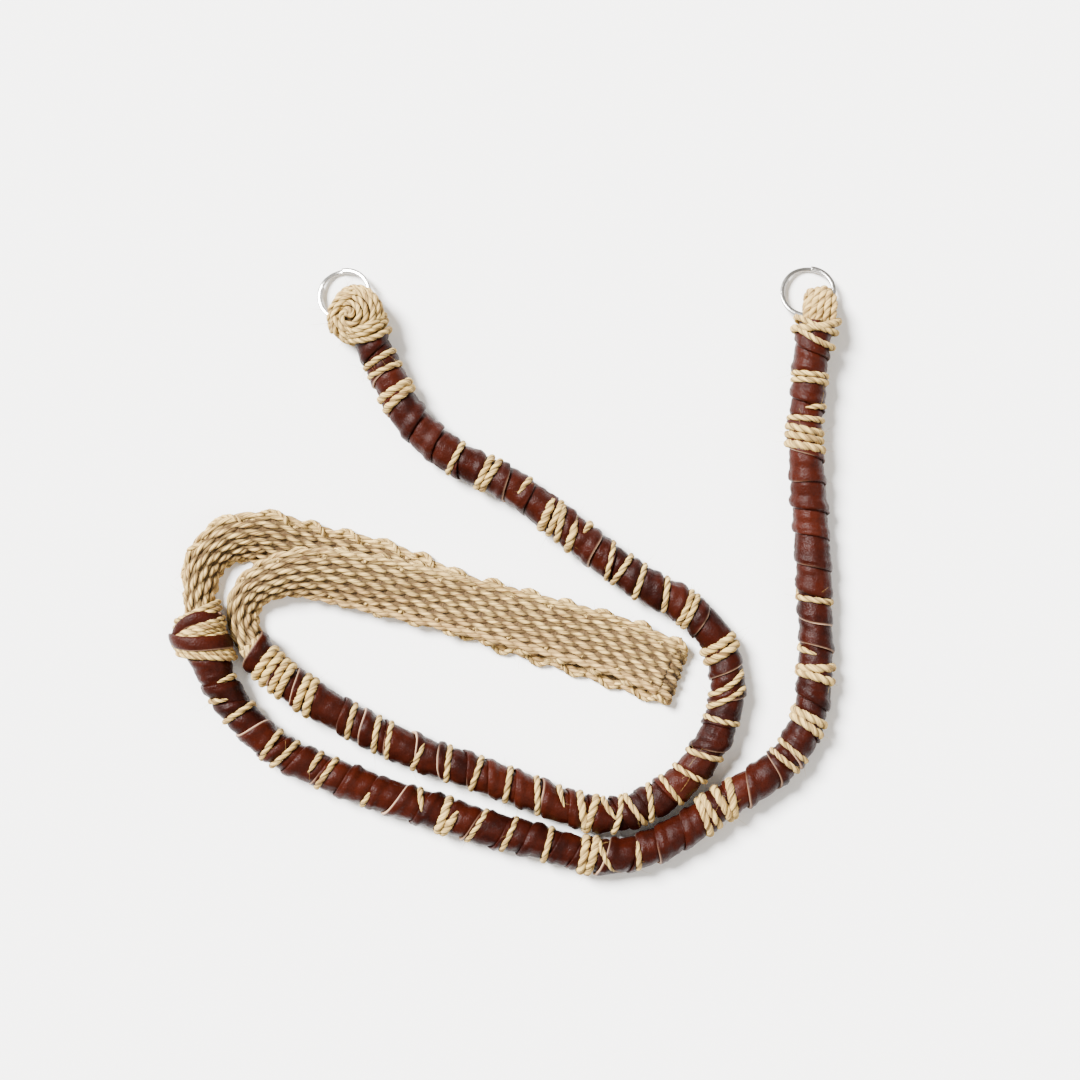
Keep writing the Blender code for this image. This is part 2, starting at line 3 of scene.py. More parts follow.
import bpy
import numpy as np
from mathutils.kdtree import KDTree
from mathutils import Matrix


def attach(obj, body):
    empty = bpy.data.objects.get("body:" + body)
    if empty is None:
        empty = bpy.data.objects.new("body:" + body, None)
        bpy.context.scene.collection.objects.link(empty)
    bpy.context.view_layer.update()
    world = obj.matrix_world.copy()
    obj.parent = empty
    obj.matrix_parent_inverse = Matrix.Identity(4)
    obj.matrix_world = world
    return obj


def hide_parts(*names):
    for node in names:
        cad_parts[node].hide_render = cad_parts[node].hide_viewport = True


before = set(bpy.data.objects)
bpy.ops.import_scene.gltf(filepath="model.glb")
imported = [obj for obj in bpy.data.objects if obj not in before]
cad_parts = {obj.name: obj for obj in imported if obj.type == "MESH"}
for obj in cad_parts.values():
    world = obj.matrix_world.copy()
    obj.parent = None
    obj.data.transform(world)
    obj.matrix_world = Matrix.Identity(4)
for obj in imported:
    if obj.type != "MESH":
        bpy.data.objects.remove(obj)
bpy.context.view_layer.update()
bpy.ops.object.select_all(action="DESELECT")
print("frame loaded:", len(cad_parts), "nodes")

# The photograph's camera looks straight down; one photo pixel at the arms' height is this wide.
photo = {
    "pixel": 0.00036, "middle": (503.5, 575.0), "shift": (-0.0004, -0.0018),
    "eye": (0.0127, 0.0108, 0.700), "lens": 64.2, "sensor": 36.0, "near": 0.01, "far": 20.0,
}


def fromPhoto(x, y):
    # a place in the plan, in metres, from a pixel of the 1080 pixel photograph
    across = (x - photo["middle"][0]) * photo["pixel"] + photo["shift"][0]
    along = (photo["middle"][1] - y) * photo["pixel"] + photo["shift"][1]
    return np.array([across, along])


def makeCamera():
    bpy.ops.object.camera_add(location=photo["eye"], rotation=(0.0, 0.0, 0.0))
    camera = bpy.context.object
    camera.name = "overheadCamera"
    camera.data.lens = photo["lens"]
    camera.data.sensor_width = photo["sensor"]
    camera.data.clip_start = photo["near"]
    camera.data.clip_end = photo["far"]
    bpy.context.scene.camera = camera


makeCamera()


def ease(value):
    # a smooth step from 0 to 1
    value = np.clip(value, 0.0, 1.0)
    return value * value * (3.0 - 2.0 * value)


def blunt(value, power):
    # a wave with flatter crests: the power of its size, with its sign kept
    return np.sign(value) * np.abs(value) ** power


def roughness(x, y, seed):
    # smooth random heights from -1 to 1 over a square grid of points
    x, y = np.broadcast_arrays(np.asarray(x, float), np.asarray(y, float))
    column, row = np.floor(x).astype(np.int64), np.floor(y).astype(np.int64)

    def corner(i, j):
        mixed = (i * 374761393 + j * 668265263 + seed * 974634777) & 0xFFFFFFFF
        mixed = ((mixed ^ (mixed >> 13)) * 1274126177) & 0xFFFFFFFF
        return ((mixed ^ (mixed >> 16)) & 0xFFFF) / 32767.5 - 1.0

    across, down = ease(x - column), ease(y - row)
    top = corner(column, row) * (1 - across) + corner(column + 1, row) * across
    low = corner(column, row + 1) * (1 - across) + corner(column + 1, row + 1) * across
    return top * (1 - down) + low * down


def smoothLine(points, steps):
    # a smooth curve through the chosen rows, each column alike
    rows = np.array([points[0], *points, points[-1]], float)
    share = (np.arange(steps) / steps)[:, None]
    parts = []
    for a, b, c, d in zip(rows, rows[1:], rows[2:], rows[3:]):
        parts.append(0.5 * (2 * b + (c - a) * share + (2 * a - 5 * b + 4 * c - d) * share ** 2
                            + (3 * b - a - 3 * c + d) * share ** 3))
    return np.vstack([*parts, rows[-1:]])


def runLength(line):
    # how far along the line each point is
    return np.concatenate([[0.0], np.cumsum(np.linalg.norm(np.diff(line, axis=0), axis=1))])


def evenly(line, spacing=0.0005):
    # the same line with its points one spacing apart, and any other columns with them
    marks = runLength(line[:, :3])
    count = max(3, int(round(marks[-1] / spacing)) + 1)
    even = np.linspace(0.0, marks[-1], count)
    return np.stack([np.interp(even, marks, column) for column in line.T], axis=1)


def unit(vectors):
    return vectors / np.maximum(np.linalg.norm(vectors, axis=-1, keepdims=True), 1e-12)


def tangents(line):
    return unit(np.gradient(line, axis=0))


def squareTo(vectors, ahead):
    # the directions of the vectors, turned square to the ones ahead
    return unit(vectors - ahead * (vectors * ahead).sum(axis=1)[:, None])


def leftOf(ahead):
    # the level directions to the left of the ones ahead
    return np.stack([-ahead[..., 1], ahead[..., 0], ahead[..., 2]], axis=-1)


def above(points, floor):
    # the points, with none of them lower than the floor
    points[..., 2] = np.maximum(points[..., 2], floor)
    return points


def stacked(shape, *columns):
    # columns of one shape side by side, each from a number or from an array that fits it
    return np.stack([np.broadcast_to(column, shape) for column in columns], axis=-1)


def frames(line):
    # tangents along a line, and two directions across it that never twist
    tangent = tangents(line)
    current = np.array([0.0, 0.0, 1.0])
    if abs(np.dot(current, tangent[0])) > 0.95:
        current = np.array([1.0, 0.0, 0.0])
    normal = np.zeros_like(line)
    for index, ahead in enumerate(tangent):
        current = current - ahead * np.dot(current, ahead)
        current = current / max(np.linalg.norm(current), 1e-9)
        normal[index] = current
    return tangent, normal, np.cross(tangent, normal)


# A laid cord: two plies, how far from its middle they lie and how broad they are, and the
# share of its radius over which painted shade darkens the groove between them.
laidCord = {"plies": 2, "depth": 0.35, "wide": 1.156, "groove": 0.32, "lowest": 0.00005}


class Pile:
    # gathers skins and tubes, which then become one mesh

    def __init__(self):
        self.points, self.laid, self.tone, self.edge, self.faces = [], [], [], [], []
        self.count = 0

    def skin(self, rings, laid, tone=0.5, edge=None):
        # rings is rows x sides x 3, closed round each ring and capped at both ends
        # edge is a colour mask: painted shade in the grooves of hemp, and the raw cut edges of
        # leather
        rows, sides = rings.shape[:2]
        index = self.count + np.arange(rows * sides).reshape(rows, sides)
        here, there = index[:-1], index[1:]
        quads = np.stack([here, np.roll(here, -1, axis=1),
                          np.roll(there, -1, axis=1), there], axis=-1)
        self.faces.extend(quads.reshape(-1, 4).tolist())
        self.points.append(rings.reshape(-1, 3))
        self.laid.append(laid.reshape(-1, 3))
        self.tone.append(np.broadcast_to(tone, (rows, sides)).reshape(-1))
        self.edge.append(np.zeros(rows * sides) if edge is None else edge.reshape(-1))
        self.count += rows * sides
        capTone, capEdge = self.tone[-1][-1:], self.edge[-1][:1]
        for row, ring in ((0, index[0][::-1]), (rows - 1, index[-1])):
            self.points.append(rings[row].mean(axis=0)[None])
            self.laid.append(laid[row].mean(axis=0)[None])
            self.tone.append(capTone)
            self.edge.append(capEdge)
            self.faces.extend([int(one), int(other), self.count]
                              for one, other in zip(ring, np.roll(ring, -1)))
            self.count += 1

    def tube(self, line, radius, sides, normal=None, tone=0.5, start=0.0, wide=1.0, axis=None,
             reach=0.001, shadeBelow=None):
        # a round tube along a line; what lies near the axis, or far below the heights given over
        # its middle line, gets painted shade
        if normal is None:
            tangent, normal, side = frames(line)
        else:
            tangent = tangents(line)
            normal = squareTo(normal, tangent)
            side = np.cross(tangent, normal)
        radius = np.broadcast_to(radius, len(line))[:, None]
        turn = 2 * np.pi * np.arange(sides) / sides
        level, flat = np.cos(turn), np.sin(turn) * wide
        rings = line[:, None, :] + radius[..., None] * (
            normal[:, None, :] * level[None, :, None] + side[:, None, :] * flat[None, :, None])
        laid = stacked(rings.shape[:2], (runLength(line) + start)[:, None],
                       radius * level, radius * flat)
        groove = None
        if axis is not None:
            out = np.linalg.norm(rings - axis[:, None], axis=-1)
            reach = np.broadcast_to(reach, len(line))[:, None]
            groove = np.clip((reach - out) / (laidCord["groove"] * reach), 0.0, 1.0)
        if shadeBelow is not None:
            middle, outward, high, low, depth = shadeBelow
            rise = np.abs(((rings - middle[:, None]) * outward[:, None]).sum(axis=-1))
            groove = np.maximum(groove, depth * np.clip((high - rise) / (high - low), 0.0, 1.0))
        self.skin(rings, laid, tone, groove)

    def cord(self, line, radius, pitch, sides=7, phase=0.0, tone=0.5):
        # a laid cord: plies twisted round each other along the line
        tangent, normal, side = frames(line)
        marks = runLength(line)
        radius = np.broadcast_to(radius, len(line))
        offset = radius * laidCord["depth"]
        for ply in range(laidCord["plies"]):
            turn = phase + 2 * np.pi * (marks / pitch + ply / laidCord["plies"])
            out = normal * np.cos(turn)[:, None] + side * np.sin(turn)[:, None]
            self.tube(line + out * offset[:, None], radius - offset, sides, out, tone,
                      start=0.013 * ply + 0.37 * phase, wide=laidCord["wide"], axis=line,
                      reach=radius)

    def build(self, name, material, slot, replaced=()):
        mesh = bpy.data.meshes.new(name)
        points = above(np.vstack(self.points), laidCord["lowest"])
        mesh.from_pydata(points.tolist(), [], self.faces)
        for label, kind, values in (
            ("laid", "FLOAT_VECTOR", np.vstack(self.laid)),
            ("tone", "FLOAT", np.concatenate(self.tone)),
            ("edge", "FLOAT", np.concatenate(self.edge)),
        ):
            made = mesh.attributes.new(label, kind, "POINT")
            made.data.foreach_set("vector" if kind == "FLOAT_VECTOR" else "value",
                                  values.astype(np.float32).ravel())
        mesh.shade_smooth()
        mesh.materials.append(material)
        piece = bpy.data.objects.new(name, mesh)
        bpy.context.scene.collection.objects.link(piece)
        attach(piece, "root")
        if replaced:
            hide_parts(*replaced)
        print("made", name, sum(len(face) - 2 for face in self.faces), "triangles")


# The two arms, in the steps of the lay: the ring end first, the band end last. Thick pieces
# lift an arm: each row of lifts has the share of its length and the offset where one starts,
# the same where it ends, and its half height.
lay = {
    "step": 0.001, "centre": (0.4, 1.8), "reach": 0.002, "lead": 0.03, "spacing": 0.0005,
    "radius": 0.00624, "settle": 0.0003, "apart": 0.01497, "fade": 0.024, "steps": 10,
    "left": [
        (-47.5, 84), (-41, 70), (-33.5, 56.5), (-19.5, 43.5), (1, 33), (16, 22.5),
        (32.5, 9.5), (50, -3), (64.5, -11), (75, -21), (80, -33), (80.5, -43),
        (76, -58.5), (65.5, -73), (52.5, -82), (39, -86.5), (24, -84), (11, -79),
        (-9.5, -71.5), (-31, -64), (-51.5, -54.5), (-71, -43), (-82.5, -34.5), (-90.5, -26),
    ],
    "right": [
        (112, 88), (110.5, 80), (110, 68.5), (109, 59), (108, 50.5), (109, 38),
        (110.5, 21.5), (111.5, 5.5), (112, -9), (112.5, -25), (112, -39.5), (109.5, -53),
        (104, -63.5), (94.5, -72.5), (81.5, -80.5), (68, -89), (55.5, -96.5), (42.5, -99),
        (27.5, -99), (11, -95.5), (-8.5, -90.5), (-28.5, -84), (-46.5, -78), (-67, -70),
        (-80.5, -63.5), (-92, -53.5), (-100.5, -42), (-106.5, -29.5), (-109.5, -22), (-110, -14),
    ],
    "leftLifts": [(0.968, -0.0056, 0.968, 0.0056, 0.00825), (0.0, -0.0195, 0.0, 0.0, 0.0075)],
    "rightLifts": [(0.016, -0.0028, 0.016, 0.0028, 0.00825),
                   (0.097, -0.0042, 0.097, 0.0042, 0.00825),
                   (0.0, -0.014, 0.0, 0.0, 0.0064), (0.955, 0.0, 1.0, 0.0, 0.0080)],
}


def fromLay(rows):
    return (np.asarray(rows) - np.array(lay["centre"])) * lay["step"]


def pushedClear(points, others, distance):
    # moves each point that lies nearer to the other arm than the distance
    cleared = points.copy()
    for index, point in enumerate(points):
        apart = point - others
        away = np.linalg.norm(apart, axis=1)
        nearest = int(away.argmin())
        if away[nearest] < distance:
            cleared[index] = others[nearest] + apart[nearest] / away[nearest] * distance
    return cleared


class Arm:
    # an arm on the floor: where its middle is, and its directions, at each place along it

    def __init__(self, plan, lifts):
        marks = runLength(plan)
        self.length = marks[-1]
        lead = lay["lead"]
        ahead, back = unit(plan[-1] - plan[-2]), unit(plan[0] - plan[1])
        plan = np.vstack([plan[0] + back * lead, plan, plan[-1] + ahead * lead])
        marks = np.concatenate([[-lead], marks, [self.length + lead]])
        self.marks = np.arange(-lead, self.length + lead, lay["spacing"])
        line = np.stack([np.interp(self.marks, marks, column) for column in plan.T], axis=1)
        reach = int(round(lay["reach"] / lay["spacing"]))
        heading = unit(np.roll(line, -reach, axis=0) - np.roll(line, reach, axis=0))
        heading[:reach], heading[-reach:] = heading[reach], heading[-reach - 1]
        extra = np.zeros(len(self.marks))
        for startShare, startMore, endShare, endMore, half in lifts:
            start, end = self.length * startShare + startMore, self.length * endShare + endMore
            away = np.maximum(np.maximum(start - self.marks, self.marks - end), 0.0) / lay["fade"]
            share = 0.5 + 0.5 * np.cos(np.pi * np.minimum(away, 1.0))
            extra = np.maximum(extra, (half - lay["radius"]) * share)
        height = lay["radius"] - lay["settle"] + extra
        self.line = np.hstack([line, height[:, None]])
        self.ahead = heading

    def middle(self, place):
        return np.stack([np.interp(place, self.marks, column) for column in self.line.T], axis=-1)

    def heading(self, place):
        flat = [np.interp(place, self.marks, column) for column in self.ahead.T]
        return unit(np.stack([*flat, np.zeros_like(flat[0])], axis=-1))

    def at(self, place, angle, radius, floor=0.0001):
        # points round the arm: angle 0 is its left side, a quarter turn is its top
        place, angle, radius = np.broadcast_arrays(place, angle, radius)
        left = leftOf(self.heading(place))
        point = self.middle(place) + left * radius[..., None] * np.cos(angle)[..., None]
        point[..., 2] += radius * np.sin(angle)
        return above(point, floor)

    def locate(self, spot):
        # the place along the arm, and how far to the left, of a spot in the plan
        away = np.linalg.norm(self.line[:, :2] - spot, axis=1)
        nearest = int(away.argmin())
        ahead = self.ahead[nearest]
        left = np.array([-ahead[1], ahead[0]])
        return self.marks[nearest], float(np.dot(spot - self.line[nearest, :2], left))


leftPlan = fromLay(smoothLine(lay["left"], lay["steps"]))
rightPlan = pushedClear(fromLay(smoothLine(lay["right"], lay["steps"])), leftPlan, lay["apart"])
leftArm = Arm(leftPlan, lay["leftLifts"])
rightArm = Arm(rightPlan, lay["rightLifts"])
print("arms:", round(leftArm.length, 4), round(rightArm.length, 4), "metres")


def crossing(arm, ends, steepest=1.4):
    # where a cord crosses the arm's middle line, its slope, and how far it goes to each side
    (lowPlace, low), (highPlace, high) = sorted(
        (arm.locate(fromPhoto(*end)) for end in (ends[:2], ends[2:4])), key=lambda one: one[1])
    slope = float(np.clip((highPlace - lowPlace) / max(high - low, 0.001), -steepest, steepest))
    return (lowPlace + highPlace) / 2 - slope * (low + high) / 2, slope, low, high


def nodeGroup(name, inputs, outputs):
    group = bpy.data.node_groups.new(name, "ShaderNodeTree")
    for way, sockets in (("INPUT", inputs), ("OUTPUT", outputs)):
        for label, kind in sockets:
            group.interface.new_socket(name=label, in_out=way, socket_type=kind)
    return group, group.nodes.new("NodeGroupInput"), group.nodes.new("NodeGroupOutput")


def node(tree, kind, **settings):
    made = tree.nodes.new(kind)
    for label, value in settings.items():
        setattr(made, label, value)
    return made


def feed(tree, socket, value):
    # links a socket to the value, or sets it where the value is a number or a colour
    if isinstance(value, bpy.types.NodeSocket):
        tree.links.new(value, socket)
    else:
        socket.default_value = value if isinstance(value, (int, float)) else (*value, 1.0)


def maths(tree, operation, first, second):
    made = node(tree, "ShaderNodeMath", operation=operation)
    feed(tree, made.inputs[0], first)
    feed(tree, made.inputs[1], second)
    return made.outputs[0]


def blendColours(tree, share, first, second):
    made = node(tree, "ShaderNodeMix", data_type="RGBA")
    for number, value in ((0, share), (6, first), (7, second)):
        feed(tree, made.inputs[number], value)
    return made.outputs[2]


def noiseValue(tree, vector, scale, stretch=(1.0, 1.0, 1.0), detail=3.0, rough=0.55):
    mapping = node(tree, "ShaderNodeMapping")
    mapping.inputs["Scale"].default_value = stretch
    tree.links.new(vector, mapping.inputs["Vector"])
    texture = node(tree, "ShaderNodeTexNoise")
    for label, value in (("Scale", scale), ("Detail", detail), ("Roughness", rough)):
        texture.inputs[label].default_value = value
    tree.links.new(mapping.outputs[0], texture.inputs["Vector"])
    return texture.outputs["Fac"]


def spread(tree, value, low, high, start=0.0, end=1.0):
    made = node(tree, "ShaderNodeMapRange")
    tree.links.new(value, made.inputs["Value"])
    for label, number in (("From Min", low), ("From Max", high), ("To Min", start),
                          ("To Max", end)):
        made.inputs[label].default_value = number
    return made.outputs[0]


def makeFibreGroup():
    # fine fibres that run along a hemp ply, as a value, a height and a brown fleck mask
    group, start, end = nodeGroup(
        "hempFibre", [("Laid", "NodeSocketVector")],
        [(label, "NodeSocketFloat") for label in ("Shade", "Height", "Fleck")])
    laid = start.outputs["Laid"]
    strands = noiseValue(group, laid, 1000.0, (0.16, 3.4, 3.4), 2.0, 0.6)
    clumps = noiseValue(group, laid, 1000.0, (0.09, 1.1, 1.1), 2.0, 0.5)
    flecks = noiseValue(group, laid, 1000.0, (0.22, 0.9, 0.9), 1.0, 0.5)
    shade = maths(group, "ADD", maths(group, "MULTIPLY", strands, 0.6),
                  maths(group, "MULTIPLY", clumps, 0.4))
    group.links.new(spread(group, shade, 0.41, 0.54), end.inputs["Shade"])
    group.links.new(strands, end.inputs["Height"])
    group.links.new(spread(group, flecks, 0.64, 0.74), end.inputs["Fleck"])
    return group


def makeGrainGroup():
    # leather grain: fine pores and soft creases as a height, cloudy wear as a mask, and painted
    # shade for the creases as a mask
    group, start, end = nodeGroup(
        "leatherGrain", [("Place", "NodeSocketVector")],
        [(label, "NodeSocketFloat") for label in ("Height", "Cloud", "CreaseShade")])
    place = start.outputs["Place"]
    pores = node(group, "ShaderNodeTexVoronoi", feature="SMOOTH_F1")
    pores.inputs["Scale"].default_value = 2600.0
    group.links.new(place, pores.inputs["Vector"])
    creases = noiseValue(group, place, 620.0, detail=5.0, rough=0.62)
    cloud = noiseValue(group, place, 140.0, detail=3.0, rough=0.6)
    height = maths(group, "ADD", maths(group, "MULTIPLY", pores.outputs["Distance"], 0.35),
                   maths(group, "MULTIPLY", creases, 0.65))
    group.links.new(height, end.inputs["Height"])
    group.links.new(spread(group, cloud, 0.35, 0.68), end.inputs["Cloud"])
    # the low places of the creases are marked for painted shade
    group.links.new(spread(group, creases, 0.32, 0.48, 1.0, 0.0), end.inputs["CreaseShade"])
    return group


fibreGroup = makeFibreGroup()
grainGroup = makeGrainGroup()


def newMaterial(name):
    material = bpy.data.materials.new(name)
    material.use_nodes = True
    tree = material.node_tree
    return material, tree, tree.nodes["Principled BSDF"]


def attribute(tree, name):
    return node(tree, "ShaderNodeAttribute", attribute_name=name)


def addBump(tree, shader, height, strength, distance):
    bump = node(tree, "ShaderNodeBump")
    bump.inputs["Strength"].default_value = strength
    bump.inputs["Distance"].default_value = distance
    tree.links.new(height, bump.inputs["Height"])
    tree.links.new(bump.outputs[0], shader.inputs["Normal"])


# The gap colour is painted shade, blended in where the edge mask marks the grooves between plies
# and ropes.
hempLook = {
    "pale": (0.60, 0.41, 0.135), "deep": (0.15, 0.078, 0.021), "fleck": (0.15, 0.072, 0.024),
    "warm": (0.46, 0.27, 0.10), "gap": (0.036, 0.017, 0.005), "roughness": 0.88,
    "sheen": 0.04, "sheenRoughness": 0.5, "specular": 0.2, "bump": (0.9, 0.00030),
}


def hempMaterial(name, changes):
    look = {**hempLook, **changes}
    material, tree, shader = newMaterial(name)
    fibre = node(tree, "ShaderNodeGroup", node_tree=fibreGroup)
    tree.links.new(attribute(tree, "laid").outputs["Vector"], fibre.inputs["Laid"])
    tone = attribute(tree, "tone").outputs["Fac"]
    base = blendColours(tree, fibre.outputs["Shade"], look["deep"], look["pale"])
    warmed = blendColours(tree, spread(tree, tone, 0.3, 1.0, 0.0, 0.55), base, look["warm"])
    flecked = blendColours(tree, maths(tree, "MULTIPLY", fibre.outputs["Fleck"], 0.6),
                           warmed, look["fleck"])
    # painted shade: the edge mask darkens the grooves towards the gap colour
    groove = maths(tree, "MULTIPLY", attribute(tree, "edge").outputs["Fac"], 0.95)
    final = blendColours(tree, groove, flecked, look["gap"])
    tree.links.new(final, shader.inputs["Base Color"])
    shader.inputs["Roughness"].default_value = look["roughness"]
    shader.inputs["Specular IOR Level"].default_value = look["specular"]
    shader.inputs["Sheen Weight"].default_value = look["sheen"]
    shader.inputs["Sheen Roughness"].default_value = look["sheenRoughness"]
    addBump(tree, shader, fibre.outputs["Height"], *look["bump"])
    return material


leatherLook = {
    "deep": (0.0085, 0.0012, 0.0006), "brown": (0.0205, 0.0028, 0.0011),
    "worn": (0.0320, 0.0048, 0.0018), "raw": (0.42, 0.26, 0.17), "dull": 0.42, "glossy": 0.29,
    "specular": 0.06, "bump": (0.75, 0.00050),
}


def leatherMaterial(name, look):
    material, tree, shader = newMaterial(name)
    place = node(tree, "ShaderNodeTexCoord").outputs["Object"]
    grain = node(tree, "ShaderNodeGroup", node_tree=grainGroup)
    tree.links.new(place, grain.inputs["Place"])
    body = blendColours(tree, grain.outputs["Cloud"], look["deep"], look["brown"])
    tone = attribute(tree, "tone").outputs["Fac"]
    worn = blendColours(tree, spread(tree, tone, 0.35, 1.0, 0.0, 0.8), body, look["worn"])
    # painted shade: the leather is darkened towards the deep colour in its creases
    creaseShaded = blendColours(tree, maths(tree, "MULTIPLY", grain.outputs["CreaseShade"], 0.35),
                           worn, look["deep"])
    raw = blendColours(tree, attribute(tree, "edge").outputs["Fac"], creaseShaded, look["raw"])
    tree.links.new(raw, shader.inputs["Base Color"])
    tree.links.new(spread(tree, grain.outputs["Cloud"], 0.0, 1.0, look["dull"], look["glossy"]),
                   shader.inputs["Roughness"])
    shader.inputs["Specular IOR Level"].default_value = look["specular"]
    addBump(tree, shader, grain.outputs["Height"], *look["bump"])
    return material


def steelMaterial(name):
    material, tree, shader = newMaterial(name)
    place = node(tree, "ShaderNodeTexCoord").outputs["Object"]
    marks = noiseValue(tree, place, 900.0, (1.0, 1.0, 4.0), 3.0, 0.6)
    shader.inputs["Base Color"].default_value = (0.40, 0.39, 0.375, 1.0)
    shader.inputs["Metallic"].default_value = 1.0
    tree.links.new(spread(tree, marks, 0.3, 0.7, 0.12, 0.26), shader.inputs["Roughness"])
    addBump(tree, shader, marks, 0.1, 0.00003)
    return material


cordHemp = hempMaterial("windingHemp", {})
bandHemp = hempMaterial("wovenHemp", {"pale": (0.70, 0.48, 0.165)})
# near-black hemp used as painted shade, for pieces seen only through gaps
shadeHemp = hempMaterial("weftShadeHemp", {"pale": (0.10, 0.058, 0.022), "deep": (0.04, 0.021, 0.008)})
brownLeather = leatherMaterial("brownLeather", leatherLook)
polishedSteel = steelMaterial("polishedSteel")
print("materials ready")

# Where the winding cord shows on the arms, as read on the photograph: x and y of both ends.
windingSeen = {
    "left": [
        (366, 368, 392, 352), (373, 377, 401, 363), (380, 401, 405, 384), (389, 408, 409, 390),
        (447, 475, 463, 444), (476, 487, 492, 458), (481, 490, 498, 464), (522, 489, 532, 476),
        (541.6, 525, 551, 503), (550, 531, 559.5, 506), (557, 540, 563, 512),
        (567.5, 547.5, 574.6, 526), (587, 528, 591, 522.5), (607, 576, 614, 540),
        (614, 581, 632, 556), (635, 596, 646, 564), (664, 606, 667.5, 580),
        (680, 621, 692.5, 592), (684, 626, 697, 599), (700, 655, 732, 636),
        (706, 662, 735, 645), (710, 697.5, 737, 672.5), (712, 706, 739, 690),
        (710, 717, 737, 724), (684.6, 748, 721, 759), (673, 764, 703, 781),
        (661, 777.5, 680, 802.5), (648, 788, 652, 824), (623, 792, 643, 820),
        (620, 799, 614, 831), (600, 793.6, 614, 813), (596, 799, 586, 827.5),
        (580, 793.6, 586, 827.5), (562.5, 797, 559, 786), (537.5, 811, 537.5, 777.5),
        (505, 801, 511, 767), (471, 788, 482, 756), (446, 781, 450, 745), (414, 767, 423, 747),
        (386, 760, 392, 723), (374, 751, 380, 716), (347, 737, 356, 703), (306, 714, 317, 680),
        (297, 707, 310, 675), (279, 696, 297, 661), (271, 691, 291, 655), (262, 686, 285, 650),
        (254, 680, 279, 644),
    ],
    "right": [
        (785.5, 372, 834.6, 377.5), (786, 379, 834, 385), (809.6, 408, 831, 406),
        (792, 418.6, 820, 422), (783, 424, 820, 434), (784.6, 434, 818.6, 442),
        (786, 443, 820, 450), (793, 597, 832, 602), (797, 648, 808, 652), (799, 668, 834, 668),
        (799, 671, 832, 683), (796, 710, 824, 725), (796, 718, 817, 733), (781, 741, 807, 761),
        (772, 750, 797, 771), (729, 786, 733, 812.5), (714, 789, 729, 816),
        (703, 796, 718, 822), (698, 802.5, 709.5, 831), (638, 845, 639, 863),
        (600, 843.6, 609, 865), (598, 836, 589, 867), (587.5, 834.6, 582, 865),
        (553.6, 824, 543, 861), (516, 818.6, 502, 847), (486, 813, 468, 838),
        (455, 815, 443, 831), (450, 797, 439, 829), (420, 790, 422, 806), (370, 794, 363, 805),
        (338, 757, 317, 787), (322, 753, 313, 766), (297, 742.5, 274, 764), (283, 728, 265, 753),
        (254, 703, 224, 723), (224, 700, 210, 702), (238, 674, 227, 678),
    ],
}
# A crossing nearer to its neighbour than "paired" is made thicker, up to half the room. One
# that ends more than "side" inside the arm's edge tapers there and dips under the strip.
winding = {
    "radius": 0.00112, "seat": 0.00600, "lay": 0.0080, "sink": 0.0019, "under": 0.0007,
    "spacing": 0.00055, "steepest": 0.75, "thickest": 0.00166, "half": 0.51, "paired": 0.0037,
    "same": 0.0004, "clear": 0.0008, "fade": 0.0036, "side": 0.0034, "whole": 0.0095,
    "taperStart": 0.0014, "taperLong": 0.0032, "steps": 16, "underSteps": 12, "buried": 0.6,
}


def windingRoute(arm, seen, way):
    # the cord's way round the arm: place, angle, radius, how much of it shows, and thickness
    rows = sorted(crossing(arm, ends, winding["steepest"]) for ends in seen)
    seat = winding["seat"]
    turn = np.linspace(0.0, math.pi, winding["steps"])
    angle = turn if way > 0 else math.pi - turn
    offset = seat * np.cos(angle)
    crossings = []
    for number, (middle, slope, low, high) in enumerate(rows):
        hidden = np.maximum(low - winding["clear"] - offset, offset - high - winding["clear"])
        hidden = ease(hidden / winding["fade"])
        inside = np.ones(len(offset))
        if low > -winding["side"]:
            inside = np.minimum(inside, offset - low)
        if high < winding["side"]:
            inside = np.minimum(inside, high - offset)
        taper = 0.5 + 0.5 * ease((inside + winding["taperStart"]) / winding["taperLong"])
        if high - low > winding["whole"]:
            hidden, taper = hidden * 0.0, np.ones(len(offset))
        beside = [abs(other[0] - middle) for other in rows[max(0, number - 1):number + 2]]
        room = min([gap for gap in beside if gap > winding["same"]] or [1.0])
        thick = winding["radius"]
        if room < winding["paired"]:
            thick = float(np.clip(winding["half"] * room, thick, winding["thickest"]))
        crossings.append(stacked(offset.shape, middle + slope * offset, angle,
                                 seat - winding["sink"] * hidden, 1.0 - hidden, thick * taper))
    turn = np.linspace(0.0, math.pi, winding["underSteps"] + 2)[1:-1]
    share = ease(turn / math.pi)[:, None]
    route = crossings[:1]
    for before, over in zip(crossings, crossings[1:]):
        under = before[-1] * (1.0 - share) + over[0] * share
        under[:, 1] = math.pi + turn if way > 0 else -turn
        under[:, 2] -= winding["under"] * np.sin(turn)
        route += [under, over]
    return np.vstack(route)


def makeWinding(name, arm, seen, way, replaced):
    route = windingRoute(arm, seen, way)
    points = arm.at(*route[:, :3].T, winding["radius"] * 1.04)
    line = evenly(np.hstack([points, route[:, 3:]]), winding["spacing"])
    points, shown, thick = line[:, :3], line[:, 3], line[:, 4]
    pile = Pile()
    buried = winding["buried"]
    pile.cord(points, thick * (buried + (1.0 - buried) * shown), winding["lay"], tone=0.2)
    pile.build(name, cordHemp, "hemp", replaced)
    tree = KDTree(len(points))
    for index, point in enumerate(points):
        tree.insert(point, index)
    tree.balance()
    return {"tree": tree, "shown": shown, "points": points}


leftCord = makeWinding("winding_cord_left", leftArm, windingSeen["left"], 1,
                       ["whipping_left_band"])
rightCord = makeWinding("winding_cord_right", rightArm, windingSeen["right"], -1,
                        ["whipping_right_ring", "whipping_right_middle"])

